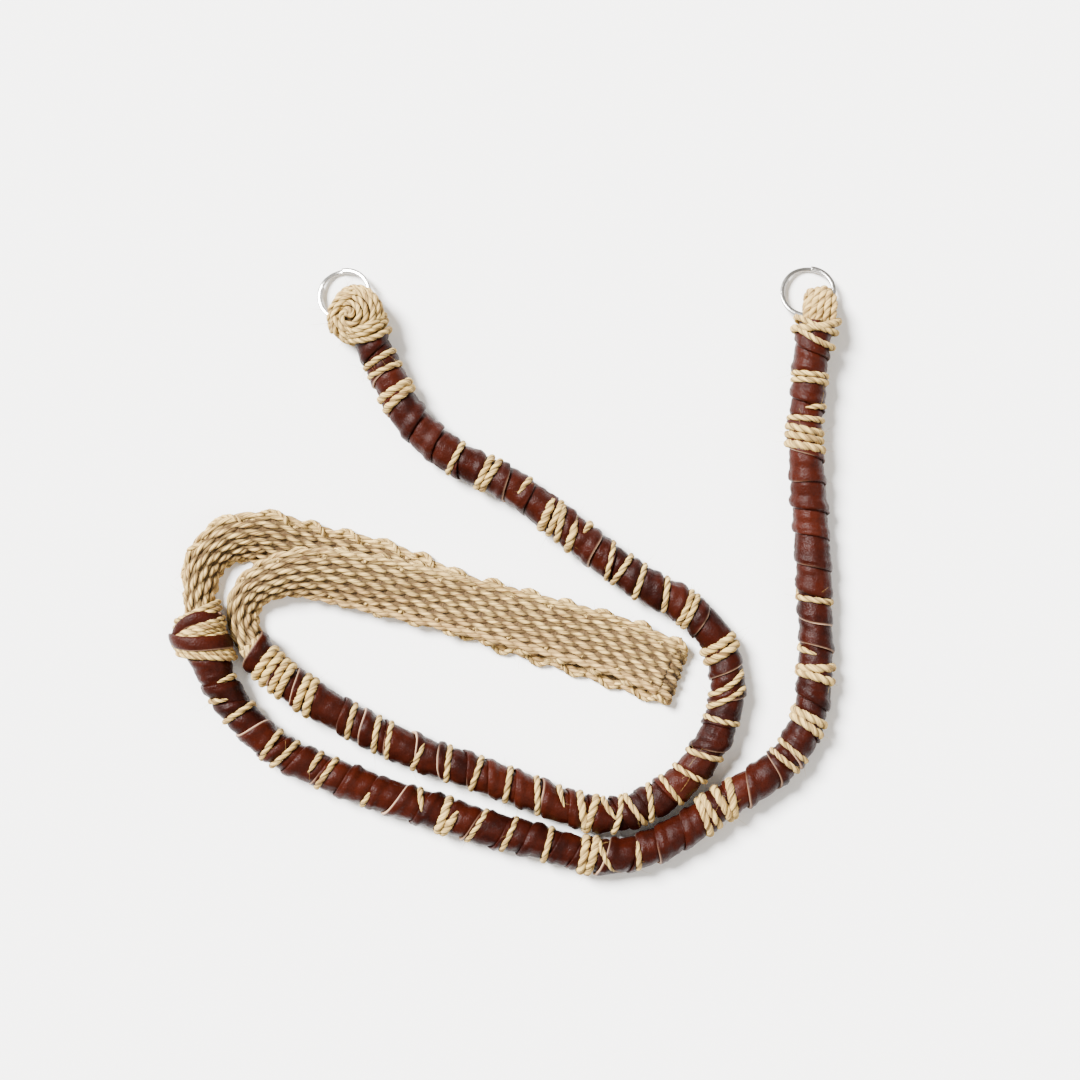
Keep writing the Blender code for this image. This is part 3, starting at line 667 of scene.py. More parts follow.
# The wound strip. "across" and "inner" are the shares of its width, from the edge that shows,
# at which its outer and inner faces have a point, and "walls" the walls at the inner ones.
leather = {
    "pitch": 0.0098, "overlap": 0.0032, "wall": 0.0011, "inside": 0.00485, "narrowest": 0.004,
    "lap": 0.00075, "lapUneven": 0.45, "lapFlat": 0.0022, "lapFade": 0.0024, "puff": 0.00042,
    "wander": 0.0019, "steps": 60, "girth": 0.035, "girthLong": 0.021, "round": 0.0062,
    "dip": 0.00025, "dipWide": 0.10, "tuck": 0.0005, "tuckWide": 0.15, "folds": 0.00056,
    "foldAround": 0.0125, "foldAlong": 0.0021, "foldSlant": 0.015, "pleats": 0.00014,
    "pleatAround": 0.0016, "pleatAlong": 0.0052, "roll": 0.00028, "rollWide": 0.0006,
    "grooveDepth": 0.0008, "grooveWidth": 0.0015, "grooveReach": 0.0045, "press": 0.0002,
    "across": (0.0, 0.012, 0.03, 0.06, 0.10, 0.15, 0.21, 0.28, 0.35, 0.42, 0.49, 0.56, 0.63,
               0.70, 0.77, 0.86, 1.0),
    "inner": (1.0, 0.6, 0.3, 0.1, 0.012), "walls": (0.5, 0.8, 1.0, 1.0, 0.9),
    "rawEdge": ((-1, 0.8), (0, 1.0), (1, 0.9), (2, 0.25)), "row": 0.0008,
}


def cordGroove(points, cord):
    # how strongly the winding cord presses on each point
    groove = np.zeros(len(points))
    for index, point in enumerate(points):
        where, nearest, far = cord["tree"].find(point)
        if far < leather["grooveReach"]:
            groove[index] = (cord["shown"][nearest] ** 2
                             * math.exp(-(far / leather["grooveWidth"]) ** 2))
    return groove


def makeLeather(name, arm, way, start, end, cord, seed, replaced):
    # one long strip wound round the arm, each turn's far edge lying on the next turn
    turns = int(round((end - start) / leather["pitch"]))
    turn = np.arange(turns * leather["steps"] + 1) / leather["steps"]
    wander = roughness(turn * 1.3, 0.5, seed) + 0.5 * roughness(turn * 3.1, 0.0, seed + 1)
    edge = start + (end - start) * turn / turns + wander * leather["wander"]
    before = np.interp(turn - 1.0, turn, edge, left=edge[0] - leather["pitch"])
    width = (np.maximum(edge - before, leather["narrowest"]) + leather["overlap"])[:, None]
    angle = (way * 2 * np.pi * turn - way * np.pi / 2)[:, None]
    away = width * np.array(leather["across"])
    place = np.clip(edge[:, None] - away, start, end)
    shown = np.clip(away / (width - leather["overlap"]), 0.0, 1.3)
    girth = 1.0 + leather["girth"] * roughness(place / leather["girthLong"], 0.0, seed + 2)
    lifted = 1.0 - ease((away - leather["lapFlat"]) / leather["lapFade"])
    plump = 0.55 + 0.45 * roughness(turn * 2.3, 3.0, seed + 3)[:, None]
    uneven = 1.0 + leather["lapUneven"] * roughness(turn * 1.9, 5.0, seed + 8)[:, None]
    radius = leather["inside"] * girth + leather["wall"] + leather["lap"] * uneven * lifted
    radius += leather["puff"] * plump * np.sin(np.pi * np.clip(shown, 0.0, 1.0)) ** 0.8
    radius -= leather["dip"] * np.exp(-((shown - 1.0) / leather["dipWide"]) ** 2)
    radius -= leather["tuck"] * ease((shown - 1.0) / leather["tuckWide"])
    around = angle * leather["round"]
    folds = np.abs(roughness(around / leather["foldAround"], place / leather["foldAlong"]
                             + around / leather["foldSlant"], seed + 4)) ** 0.6 - 0.5
    pleats = roughness(around / leather["pleatAround"], place / leather["pleatAlong"], seed + 5)
    radius += leather["folds"] * folds + leather["pleats"] * pleats
    radius -= leather["roll"] * (1.0 - np.minimum(away / leather["rollWide"], 1.0)) ** 2
    seat = arm.at(place, angle, winding["seat"])
    groove = cordGroove(seat.reshape(-1, 3), cord).reshape(radius.shape)
    pressed = np.minimum(radius - leather["grooveDepth"], winding["seat"] + leather["press"])
    radius += (pressed - radius) * groove
    outer = arm.at(place, angle, radius)
    shares = leather["across"]
    beside = np.interp(leather["inner"], shares, np.arange(len(shares))).astype(int)
    innerPlace = np.clip(edge[:, None] - width * np.array(leather["inner"]), start, end)
    innerRadius = radius[:, beside] - leather["wall"] * np.array(leather["walls"])
    rings = np.concatenate([outer, arm.at(innerPlace, angle, innerRadius)], axis=1)
    shape = rings.shape[:2]
    worn = np.clip(0.08 + 1.2 * roughness(turn * 1.7, 0.0, seed + 6), 0.0, 1.0)
    raw = np.zeros(shape)
    for column, strength in leather["rawEdge"]:
        raw[:, column] = strength * worn
    if way > 0:
        rings, raw = rings[:, ::-1], raw[:, ::-1]
    laid = stacked(shape, around, np.arange(shape[1]) * leather["row"], 0.0)
    tone = 0.5 + 0.5 * roughness(turn * 0.9, 0.0, seed + 7)[:, None]
    pile = Pile()
    pile.skin(rings, laid, tone, raw)
    pile.build(name, brownLeather, "leather", replaced)


makeLeather("leather_strip_left", leftArm, 1, -0.001, leftArm.length + 0.0045, leftCord, 11,
            [f"leather_wrap_left_{number}" for number in range(1, 9)])
makeLeather("leather_strip_right", rightArm, -1, -0.003, rightArm.length * 0.985, rightCord, 29,
            [f"leather_wrap_right_{number}" for number in range(1, 9)])

# Turns laid round an arm in one plane: how far their ends pass under it and drift apart.
# The lay is one whole twist of their cords.
turns = {"past": 0.25, "drift": 0.0006, "steps": 110, "floor": 0.001, "lay": 0.0066}


def turnRound(arm, middle, slope, wide, high, sag=0.0, steps=turns["steps"],
              floor=turns["floor"]):
    # one turn of a cord round the arm, from underneath over the top and back
    past = math.pi / 2 + turns["past"]
    angle = np.linspace(-past, math.pi + past, steps)
    drift = turns["drift"] * (angle - math.pi / 2) / math.pi
    place = middle + slope * wide * np.cos(angle) + sag * np.sin(angle) ** 2 + drift
    left = leftOf(arm.heading(place))
    line = arm.middle(place) + left * (wide * np.cos(angle))[:, None]
    line[:, 2] += high * np.sin(angle)
    return above(line, floor)


strip = {"steps": 90, "sides": 16, "floor": 0.0009, "bulge": 0.00035, "wobble": 0.00018,
         "wave": 6.0, "lowest": 0.0001, "raw": 0.5}


def stripRound(pile, arm, middle, slope, wide, high, breadth, thick, sag, tone):
    # a flat leather strip laid once round the arm, its long edges rolled in
    line = turnRound(arm, middle, slope, wide, high, sag, strip["steps"], strip["floor"])
    place = np.full(len(line), middle)
    ahead = arm.heading(place)
    outward = squareTo(line - arm.middle(place), ahead)
    turn = 2 * np.pi * np.arange(strip["sides"]) / strip["sides"]
    flat = blunt(np.cos(turn), 0.75) * breadth / 2
    rise = blunt(np.sin(turn), 0.6) * thick / 2
    rise = rise + strip["bulge"] * np.cos(np.pi * flat / breadth)
    wobble = strip["wobble"] * roughness(np.arange(len(line)) / strip["wave"], 0.4, 77)
    rings = (line[:, None] + ahead[:, None] * flat[None, :, None]
             + outward[:, None] * (rise[None] + wobble[:, None])[:, :, None])
    shape = rings.shape[:2]
    mask = np.broadcast_to((np.abs(np.cos(turn)) > 0.96) * strip["raw"], shape)
    pile.skin(above(rings, strip["lowest"])[:, ::-1],
              stacked(shape, runLength(line)[:, None], flat, 0.0), tone, mask)


# The knot's cord turns with how far each group stands out, and its two strips: how much wider
# and higher than the turns each is, then its breadth, thickness, sag and tone.
knot = {
    "turns": [
        (0.0, [(167, 637, 221, 650), (168, 641, 221, 653), (171, 646, 220, 655),
               (178, 652, 222, 657)]),
        (0.0004, [(178, 637, 224, 618), (177, 639, 227, 623), (178, 641, 229, 628),
                  (182, 642, 229, 632)]),
        (-0.0010, [(173, 622, 212, 606), (176, 626, 214, 611)]),
    ],
    "strips": [((171, 638, 229, 641), 0.0011, 0.0016, (0.0056, 0.0013, 0.0004, 0.7)),
               ((166, 641, 224, 621), 0.0002, -0.0002, (0.0046, 0.0014, 0.0034, 0.6))],
    "wide": 0.0086, "high": 0.0070, "cord": 0.0011, "uneven": 0.0004,
}


def makeKnot():
    pile = Pile()
    for rise, group in knot["turns"]:
        for number, ends in enumerate(group):
            middle, slope = crossing(rightArm, ends)[:2]
            lift = rise + knot["uneven"] * (number % 2)
            line = turnRound(rightArm, middle, slope, knot["wide"] + lift, knot["high"] + lift)
            pile.cord(evenly(line), knot["cord"], turns["lay"], phase=number * 1.3, tone=0.3)
    pile.build("knot_cords", cordHemp, "hemp", ["knot_cord_lower", "knot_cord_upper"])
    pile = Pile()
    for ends, wider, higher, form in knot["strips"]:
        middle, slope = crossing(rightArm, ends)[:2]
        stripRound(pile, rightArm, middle, slope, knot["wide"] + wider, knot["high"] + higher,
                   *form)
    pile.build("knot_strips", brownLeather, "leather", ["knot_strip_lower", "knot_strip_upper"])


makeKnot()

rings = {
    "wide": 0.0015, "thick": 0.00085, "gap": 0.0003, "across": 0.0200, "steps": 260,
    "sides": 16, "corners": 0.45, "step": math.pi / 6,
    "left": {"length": 0.0195, "channel": 0.58, "swing": 13.0},
    "right": {"length": 0.0140, "channel": 0.44, "swing": 34.0},
}


def ringPlane(arm, side):
    # the tilted plane of a split ring: through its head, and on the floor at the far side
    settings = rings[side]
    mean = (rings["across"] - rings["wide"]) / 2
    half = rings["thick"] + rings["gap"] / 2
    hold = arm.middle(-settings["length"] * settings["channel"])
    out = -arm.heading(0.0)
    turn = math.radians(settings["swing"])
    out = np.array([out[0] * math.cos(turn) - out[1] * math.sin(turn),
                    out[0] * math.sin(turn) + out[1] * math.cos(turn), 0.0])
    reach = mean + rings["across"] / 2
    tilt = math.asin(hold[2] / math.hypot(reach, half)) - math.atan2(half, reach)
    sideways = leftOf(out)
    out = out * math.cos(tilt) - np.array([0.0, 0.0, math.sin(tilt)])
    return hold + out * mean, out, sideways, np.cross(out, sideways), mean


def makeRing(name, arm, side, replaced):
    # flat wire in two turns, with a smooth step between them opposite the head
    centre, out, sideways, up, mean = ringPlane(arm, side)
    step = rings["step"]
    turn = np.linspace(step, 4 * math.pi - step, rings["steps"])
    shift = (rings["thick"] + rings["gap"]) / 2
    height = shift * np.sin(np.clip((turn - 2 * math.pi) / step, -1, 1) * math.pi / 2)
    corner = 2 * np.pi * np.arange(rings["sides"]) / rings["sides"]
    reach = blunt(np.cos(corner), rings["corners"]) * rings["wide"] / 2
    rise = blunt(np.sin(corner), rings["corners"]) * rings["thick"] / 2
    outward = np.cos(turn)[:, None] * out + np.sin(turn)[:, None] * sideways
    wire = (centre + outward[:, None] * (mean + reach)[None, :, None]
            + up * (height[:, None] + rise[None])[..., None])
    pile = Pile()
    pile.skin(wire[:, ::-1], np.zeros_like(wire))
    pile.build(name, polishedSteel, "steel", replaced)


makeRing("ring_wire_left", leftArm, "left", ["split_ring_left"])
makeRing("ring_wire_right", rightArm, "right", ["split_ring_right"])

leftHead = {
    "centre": (356.5, 316.0), "pole": (347.5, 317.0), "height": 0.0074, "wide": 0.0098,
    "high": 0.0066, "pitch": 0.00225, "cord": 0.00114, "lay": 0.0068, "sink": 0.0008,
    "first": 0.10, "last": 2.45, "steps": 1600, "ragged": 0.085, "drop": 0.0022,
    "plug": (-0.0022, 0.0068), "plugAside": 0.0004, "plugCord": 0.0014, "plugLay": 0.0060,
    "core": 0.86, "coreWide": 0.90, "coreSteps": 28, "coreLow": 0.0012, "coreFloor": 0.0005,
    "across": [
        [(332, 331), (330, 320), (333, 308), (342, 298), (353, 292)],
        [(337, 334), (334, 323), (337, 312), (345, 302), (358, 295)],
        [(336, 320), (342, 328), (352, 332), (363, 330), (373, 321)],
        [(344, 335), (356, 338), (372, 333), (382, 322)],
    ],
    "collar": [(341, 334, 379, 318, 0.0083), (345, 337, 384, 322, 0.0080),
               (347, 340, 391, 330, 0.0078)],
    "collarCord": 0.0011, "collarFloor": 0.0022, "collarFlat": 0.001,
}


def makeLeftHead():
    # a cord coiled over a rounded lump from its pole down, with turns round the arm below
    head = leftHead
    centre = np.array([*fromPhoto(*head["centre"]), head["height"]])
    pole = fromPhoto(*head["pole"]) - centre[:2]
    lean = math.asin(min(np.linalg.norm(pole) / head["wide"], 0.6))
    toward = np.array([*unit(pole), 0.0])
    aside = np.cross([0.0, 0.0, 1.0], toward)
    axis = toward * math.sin(lean) + np.array([0.0, 0.0, math.cos(lean)])
    forward = np.cross(aside, axis)
    coils = head["last"] * (head["wide"] + head["high"]) / 2 / head["pitch"]
    polar = np.linspace(head["first"], head["last"], head["steps"])
    turn = 2 * np.pi * coils * polar / head["last"]
    ragged = 1.0 + head["ragged"] * roughness(turn / 1.3, 0.7, 91)
    flat = head["wide"] * ragged * np.sin(polar)
    line = (centre + forward * (flat * np.cos(turn))[:, None]
            + aside * (flat * np.sin(turn))[:, None]
            + axis * (head["high"] * ragged * np.cos(polar))[:, None])
    pile = Pile()
    pile.cord(evenly(above(line, head["cord"])), head["cord"], head["lay"], tone=0.4)
    for number, route in enumerate(head["across"]):
        spots = smoothLine([fromPhoto(*spot) for spot in route], 12)
        away = np.linalg.norm(spots - centre[:2], axis=1) / head["wide"]
        rise = head["high"] * np.sqrt(np.clip(1.0 - away ** 2, 0.0, 1.0)) - head["sink"]
        path = np.hstack([spots, (head["height"] + rise + head["cord"])[:, None]])
        path[[0, -1], 2] -= head["drop"]
        pile.cord(evenly(path), head["cord"], head["lay"], phase=number * 1.4, tone=0.35)
    plug = np.linspace(*head["plug"], 24)[:, None] * axis + centre + forward * head["plugAside"]
    pile.cord(plug, head["plugCord"], head["plugLay"], tone=0.5)
    # a near-black lump under the coils: painted shade seen through the gaps between them
    core, steps = Pile(), head["coreSteps"]
    swell = np.sin(np.linspace(0.02, math.pi - 0.02, steps))
    stem = np.linspace(head["core"], -head["core"], steps)[:, None] * head["high"] * axis + centre
    core.tube(above(stem, head["coreLow"]), head["wide"] * head["coreWide"] * swell, steps,
              np.tile(forward, (steps, 1)), 0.1)
    above(core.points[0], head["coreFloor"])
    core.build("head_core_left_shade", shadeHemp, "hemp")
    for number, (*ends, reach) in enumerate(head["collar"]):
        middle, slope = crossing(leftArm, ends)[:2]
        line = turnRound(leftArm, middle, slope, reach, reach - head["collarFlat"],
                         head["collarFloor"])
        pile.cord(evenly(line), head["collarCord"], turns["lay"], phase=number * 1.9, tone=0.3)
    pile.build("head_cords_left", cordHemp, "hemp", ["ring_loop_left"])


rightHead = {
    "middle": -0.0078, "long": 0.0070, "half": 0.0053, "high": 0.0054, "cord": 0.00150,
    "loops": 5, "ragged": 0.16, "lay": 0.0074, "steps": 160, "bulge": 0.55, "shorter": 0.22,
    "sway": 0.0004, "wrapWide": 0.0076, "wrapHigh": 0.0066, "wrapSag": 0.0012,
    "wrapLay": 0.0068,
    "wraps": [(791, 314, 837, 335, 0.00115), (785, 321, 836, 351, 0.00115),
              (800, 328, 839, 323, 0.00150)],
}


def makeRightHead():
    # thick cords that run along the arm and loop over the ring, held by slanted wraps
    head = rightHead
    pile = Pile()
    turn = np.linspace(0.0, 2 * np.pi, head["steps"])
    for loop in range(head["loops"]):
        share = (loop - (head["loops"] - 1) / 2) / (head["loops"] / 2)
        bulge = math.sqrt(1.0 - head["bulge"] * share * share)
        uneven = 1.0 + head["ragged"] * float(roughness(loop * 1.7, 0.6, 41))
        reach = head["long"] * (1.0 - head["shorter"] * share * share) * uneven
        place = head["middle"] - reach * blunt(np.cos(turn), 0.8)
        offset = share * head["half"] + head["sway"] * np.sin(2 * turn + loop)
        line = rightArm.middle(place) + leftOf(rightArm.heading(place)) * offset[:, None]
        line[:, 2] += head["high"] * bulge * blunt(np.sin(turn), 0.75)
        pile.cord(evenly(above(line, head["cord"])), head["cord"], head["lay"],
                  phase=loop * 1.1, tone=0.5)
    for number, (*ends, thick) in enumerate(head["wraps"]):
        middle, slope = crossing(rightArm, ends)[:2]
        line = turnRound(rightArm, middle, slope, head["wrapWide"], head["wrapHigh"],
                         head["wrapSag"])
        pile.cord(evenly(line), thick, head["wrapLay"], phase=number * 1.7, tone=0.2)
    pile.build("head_cords_right", cordHemp, "hemp", ["ring_loop_right"])


makeLeftHead()
makeRightHead()

# The woven band: x and y in the steps of the lay, share of the width, curl and roll in
# degrees, and how far it lies on the other layer. "mouth" is the row inside an arm's mouth:
# how far inside, share of the width and curl.
band = {
    "width": 0.0210, "thick": 0.0032, "gap": 0.0010, "relief": 0.00025, "loop": 0.0018,
    "pitch": 0.0136, "clear": 0.0006, "girth": 1.04, "seat": 0.0004, "step": 0.0008, "ropes": 7,
    "mouth": (0.006, 0.46, 300), "mouthOut": 0.0003, "draw": 0.25, "steps": 16, "foldSteps": 12,
    "smooth": 6,
    "lower": [
        (-110, -13, 0.66, 235, 0, 0.7), (-109.5, -6, 0.72, 205, 8, 0.4),
        (-107.5, 2, 0.80, 165, 22, 0.1), (-103, 8, 0.88, 130, 30, 0),
        (-95, 12, 0.96, 95, 28, 0), (-84, 12, 1.0, 60, 16, 0), (-69.5, 7.5, 1.0, 20, 4, 0),
        (-46, 2, 1.0, 0, 0, 0), (-24, -7, 1.0, 0, 0, 0), (0, -16.5, 1.0, 0, 0, 0),
        (24.5, -24.5, 1.0, 0, 0, 0), (48, -32.5, 1.0, 0, 0, 0), (61, -37, 1.0, 0, 0, 0),
    ],
    "upper": [
        (-91.4, -25, 0.66, 235, 0, 0.4), (-94.5, -18.5, 0.70, 215, -8, 0.2),
        (-93.8, -11.5, 0.76, 195, 6, 0), (-89.5, -6, 0.82, 175, 18, 0.3),
        (-82, -2.5, 0.90, 135, 26, 0.9), (-73, -0.5, 0.96, 95, 24, 1),
        (-57.5, -1.5, 1.0, 50, 14, 1), (-33, -6.5, 1.0, 14, 4, 1), (-10.5, -12, 1.0, 0, 0, 1),
        (11, -17.5, 1.0, 0, 0, 1), (37, -24.5, 1.0, 0, 0, 1), (50, -29.5, 1.0, 0, 0, 1),
        (61, -34.5, 1.0, 0, 0, 1),
    ],
}


def drawnBack(rows):
    # draws the fold back until its corners clear the arm beside it
    rows = [list(row) for row in rows]
    reach = band["thick"] + band["gap"] / 2 + 2 * band["relief"]
    half = band["width"] / 2 + band["loop"]
    wanted = lay["radius"] * band["girth"] + band["seat"] + band["clear"]
    while True:
        end, before = (fromLay(row[:2]) for row in (rows[-1], rows[-2]))
        ahead = unit(end - before)
        aside = np.array([-ahead[1], ahead[0]])
        corners = [end + ahead * reach + aside * half * sign for sign in (-1, 1)]
        room = min(np.linalg.norm(leftPlan - corner, axis=1).min() for corner in corners)
        if room >= wanted:
            return rows
        rows[-1][0] -= ahead[0] * band["draw"]
        rows[-1][1] -= ahead[1] * band["draw"]


def surfaceAt(path, share, offset):
    # places on the curled band: share runs over its width, offset stands off its middle
    bend = np.maximum(path["bend"], 0.01)
    radius = path["half"] / bend
    lean = share * bend
    outward = path["across"] * np.sin(lean)[:, None] + path["up"] * np.cos(lean)[:, None]
    offset = np.broadcast_to(offset, len(lean))
    return (path["centre"] + path["across"] * (radius * np.sin(lean))[:, None]
            - path["up"] * (radius * (1 - np.cos(lean)))[:, None] + outward * offset[:, None])


def layerPath(rows, arm, face):
    # middle, sideways and upward directions, half width and bend along one layer
    rows = drawnBack(rows)
    inside, share, curl = band["mouth"]
    place = np.array([arm.length + band["mouthOut"], arm.length - inside])
    mouth, within = arm.middle(place)[:, :2] / lay["step"] + np.array(lay["centre"])
    rows[0][:2] = mouth
    fine = smoothLine([[*within, share, curl, *rows[0][4:]], *rows], band["steps"])
    plan = fromLay(fine[:, :2])
    full = evenly(np.hstack([plan, np.zeros((len(plan), 1)), fine[:, 2:]]), band["step"])
    ahead = tangents(full[:, :3])
    ahead[0] = arm.heading(arm.length - inside)
    roll = np.radians(full[:, 5])
    across = np.stack([-ahead[:, 1] * np.cos(roll), ahead[:, 0] * np.cos(roll), np.sin(roll)],
                      axis=1)
    path = {"centre": full[:, :3].copy(), "across": across, "up": np.cross(ahead, across),
            "half": band["width"] / 2 * full[:, 3], "bend": np.radians(full[:, 4]) / 2}
    floor = full[:, 6] * (band["thick"] + band["gap"]) - (2 * band["relief"] if face > 0 else 0.0)
    lowest = np.min([surfaceAt(path, share, band["thick"] / 2 * sign)[:, 2]
                     for share in np.linspace(-0.95, 0.95, 15) for sign in (-1, 1)], axis=0)
    near = band["smooth"]
    path["centre"][:, 2] = np.convolve(np.pad(floor - lowest, near, mode="edge"),
                                       np.ones(2 * near + 1) / (2 * near + 1), "valid")
    return path


def bandPath():
    # the whole band from the right arm, over the fold and back to the left arm
    lower = layerPath(band["lower"], rightArm, 1)
    upper = layerPath(band["upper"], leftArm, -1)
    start, end = lower["centre"][-1], upper["centre"][-1]
    ahead = unit(start - lower["centre"][-4])
    reach = (end[2] - start[2]) / 2
    count = band["foldSteps"]
    turn = np.linspace(0.0, math.pi, count + 2)[1:-1]
    fold = {
        "centre": ((start + end) / 2 + ahead * (reach * np.sin(turn))[:, None]
                   + (start - end) / 2 * np.cos(turn)[:, None]),
        "across": np.tile([-ahead[1], ahead[0], 0.0], (count, 1)),
        "up": np.outer(np.cos(turn), [0.0, 0.0, 1.0]) - ahead * np.sin(turn)[:, None],
        "half": np.full(count, band["width"] / 2), "bend": np.full(count, 0.01),
    }
    path = {key: np.concatenate([lower[key], fold[key], upper[key][::-1]]) for key in fold}
    path["fold"] = len(lower["half"]) + count // 2
    path["side"] = np.where(np.arange(len(path["half"])) < path["fold"], 1.0, -1.0)
    return path


bandLine = bandPath()
bandMarks = runLength(bandLine["centre"])
print("band:", round(float(bandMarks[-1]), 4), "metres, fold at", bandLine["fold"])

# One rope: two strands, each of three plies, that turn round each other. Its painted shade
# starts at the first height above its middle and is full at the second, as strong as depth, and
# less on the outermost ropes.
rope = {
    "strand": 0.00124, "offset": 0.00062, "rise": 0.00086, "lay": 0.0137, "plyLay": 0.0062,
    "shift": 0.25, "sides": 6, "plies": 3, "plyTurn": 2.094, "plyOut": 0.46, "plyThick": 0.56,
    "wide": 1.15, "lowest": 0.55, "shadeBelow": (0.00198, 0.00118), "depth": 0.97,
    "outerShadeDepth": 0.6, "waver": 0.35, "waverLong": 0.019, "narrow": 0.6,
}


def ropeFrame(share):
    # the middle line of one rope, with its own sideways and outward directions
    line = surfaceAt(bandLine, share, 0.0)
    lean = share * bandLine["bend"]
    outward = (bandLine["across"] * np.sin(lean)[:, None]
               + bandLine["up"] * np.cos(lean)[:, None]) * bandLine["side"][:, None]
    tangent = tangents(line)
    outward = squareTo(outward, tangent)
    return line, outward, np.cross(outward, tangent)


def makeRopes():
    # the ropes side by side, in one piece for each layer of the folded band
    parts = {"lower": slice(0, bandLine["fold"] + 1), "upper": slice(bandLine["fold"], None)}
    piles = {label: Pile() for label in parts}
    squeeze = np.clip(bandLine["half"] / (band["width"] / 2), rope["narrow"], 1.0)
    radius = rope["strand"] * rope["plyThick"] * (0.86 + 0.14 * squeeze)
    for number in range(band["ropes"]):
        line, outward, sideways = ropeFrame((number - (band["ropes"] - 1) / 2) * 2 / band["ropes"])
        waver = rope["waver"] * roughness(bandMarks / rope["waverLong"], number * 1.7, 53)
        spin = 2 * np.pi * (bandMarks / rope["lay"] + number * rope["shift"]) + waver
        # how strongly painted shade darkens the rope's low sides; weaker on the two outermost
        # ropes
        depth = rope["outerShadeDepth"] if number in (0, band["ropes"] - 1) else rope["depth"]
        for strand in range(2):
            turn = spin + strand * math.pi
            path = (line + sideways * (rope["offset"] * squeeze * np.cos(turn))[:, None]
                    + outward * (rope["rise"] * np.sin(turn))[:, None])
            out = unit(path - line)
            across = unit(np.cross(tangents(path), out))
            tone = 0.5 + 0.5 * float(roughness(number * 1.37, strand * 2.1, 5))
            for ply in range(rope["plies"]):
                twist = (strand + number + ply * rope["plyTurn"]
                         - 2 * np.pi * bandMarks / rope["plyLay"])
                lean = out * np.cos(twist)[:, None] + across * np.sin(twist)[:, None]
                thread = above(path + lean * (rope["strand"] * rope["plyOut"]),
                               rope["strand"] * rope["lowest"])
                for label, part in parts.items():
                    piles[label].tube(
                        thread[part], radius[part], rope["sides"], lean[part], tone,
                        start=0.011 * number + 0.005 * strand, wide=rope["wide"],
                        axis=path[part], reach=rope["strand"],
                        shadeBelow=(line[part], outward[part], *rope["shadeBelow"], depth))
    for label, pile in piles.items():
        pile.build(f"band_ropes_{label}", bandHemp, "weave", ["woven_band"])


weft = {"sides": 20, "wide": 0.86, "thick": 0.00055, "ripple": 0.0001, "rippleLong": 0.0068,
        "lowest": 0.0003}


def makeBandCore():
    # the weft that holds the ropes together, coloured near black as painted shade, seen only in
    # the holes between them
    turn = 2 * np.pi * np.arange(weft["sides"]) / weft["sides"]
    shares = weft["wide"] * blunt(np.cos(turn), 0.8)
    columns = []
    for share, rise in zip(shares, np.sin(turn)):
        ripple = weft["ripple"] * np.sin(2 * np.pi * bandMarks / weft["rippleLong"] + 5 * share)
        columns.append(surfaceAt(bandLine, share, weft["thick"] * rise + ripple))
    skin = above(np.stack(columns, axis=1), weft["lowest"])
    pile = Pile()
    pile.skin(skin, stacked(skin.shape[:2], shares * band["width"] / 2, bandMarks[:, None], 0.0),
              0.1)
    pile.build("band_weft_shade", shadeHemp, "weave")


# One edge loop: along the band and out from the outermost rope in millimetres, and height.
edgeLoop = {
    "shape": [(-6.0, -1.4, -0.6), (-4.6, -0.4, 0.9), (-3.0, 0.8, 1.5), (-1.5, 1.7, 0.9),
              (0.2, 2.15, 0.3), (2.0, 1.7, 0.7), (3.3, 0.7, 1.5), (4.4, -0.4, 1.4),
              (5.6, -1.6, 0.2), (6.4, -2.2, -0.8)],
    "scale": 0.001, "cord": 0.00112, "lay": 0.0056, "sides": 5, "spacing": 0.0006, "steps": 6,
    "fewest": 12, "shift": {-1: -0.0012, 1: 0.0015}, "tightest": 2.05,
}


def makeEdgeLoops():
    pile = Pile()
    total, scale = bandMarks[-1], edgeLoop["scale"]
    for sign in (-1, 1):
        share = sign * (1.0 - 1.0 / band["ropes"])
        line, outward, sideways = ropeFrame(share)
        lean = share * bandLine["bend"]
        out = (bandLine["across"] * np.cos(lean)[:, None]
               - bandLine["up"] * np.sin(lean)[:, None]) * sign
        for number in range(int(total / band["pitch"])):
            middle = (number + 0.5) * band["pitch"] + edgeLoop["shift"][sign]
            longer, farther, higher = (float(roughness(number * 1.3, sign * 2.2, seed))
                                       for seed in (3, 7, 13))
            rows = []
            for along, away, high in smoothLine(edgeLoop["shape"], edgeLoop["steps"]):
                mark = middle + along * scale * (1 + 0.12 * longer)
                if not 0.0 < mark < total:
                    continue
                bend = float(np.interp(mark, bandMarks, bandLine["bend"]))
                away = away * (1 + 0.22 * farther) * (1.0 - 0.5 * bend / edgeLoop["tightest"])
                spot, aside, up = (
                    np.array([np.interp(mark, bandMarks, column) for column in field.T])
                    for field in (line, out, outward))
                rows.append(spot + aside * away * scale + up * high * scale * (0.9 + 0.2 * higher))
            if len(rows) < edgeLoop["fewest"]:
                continue
            path = evenly(above(np.array(rows), edgeLoop["cord"]), edgeLoop["spacing"])
            pile.cord(path, edgeLoop["cord"], edgeLoop["lay"], edgeLoop["sides"],
                      phase=number * 0.9, tone=0.35)
    pile.build("band_edge_loops", bandHemp, "weave")


# The cords inside each arm: where they end, and their radius.
bundle = {
    "ends": [(leftArm, leftArm.length + 0.0014, 0.0017),
             (rightArm, rightArm.length - 0.0004, 0.0021)],
    "long": 0.020, "lay": 0.0085, "count": 6, "steps": 40, "middle": 1.1, "out": 1.75,
    "turned": 0.3,
}


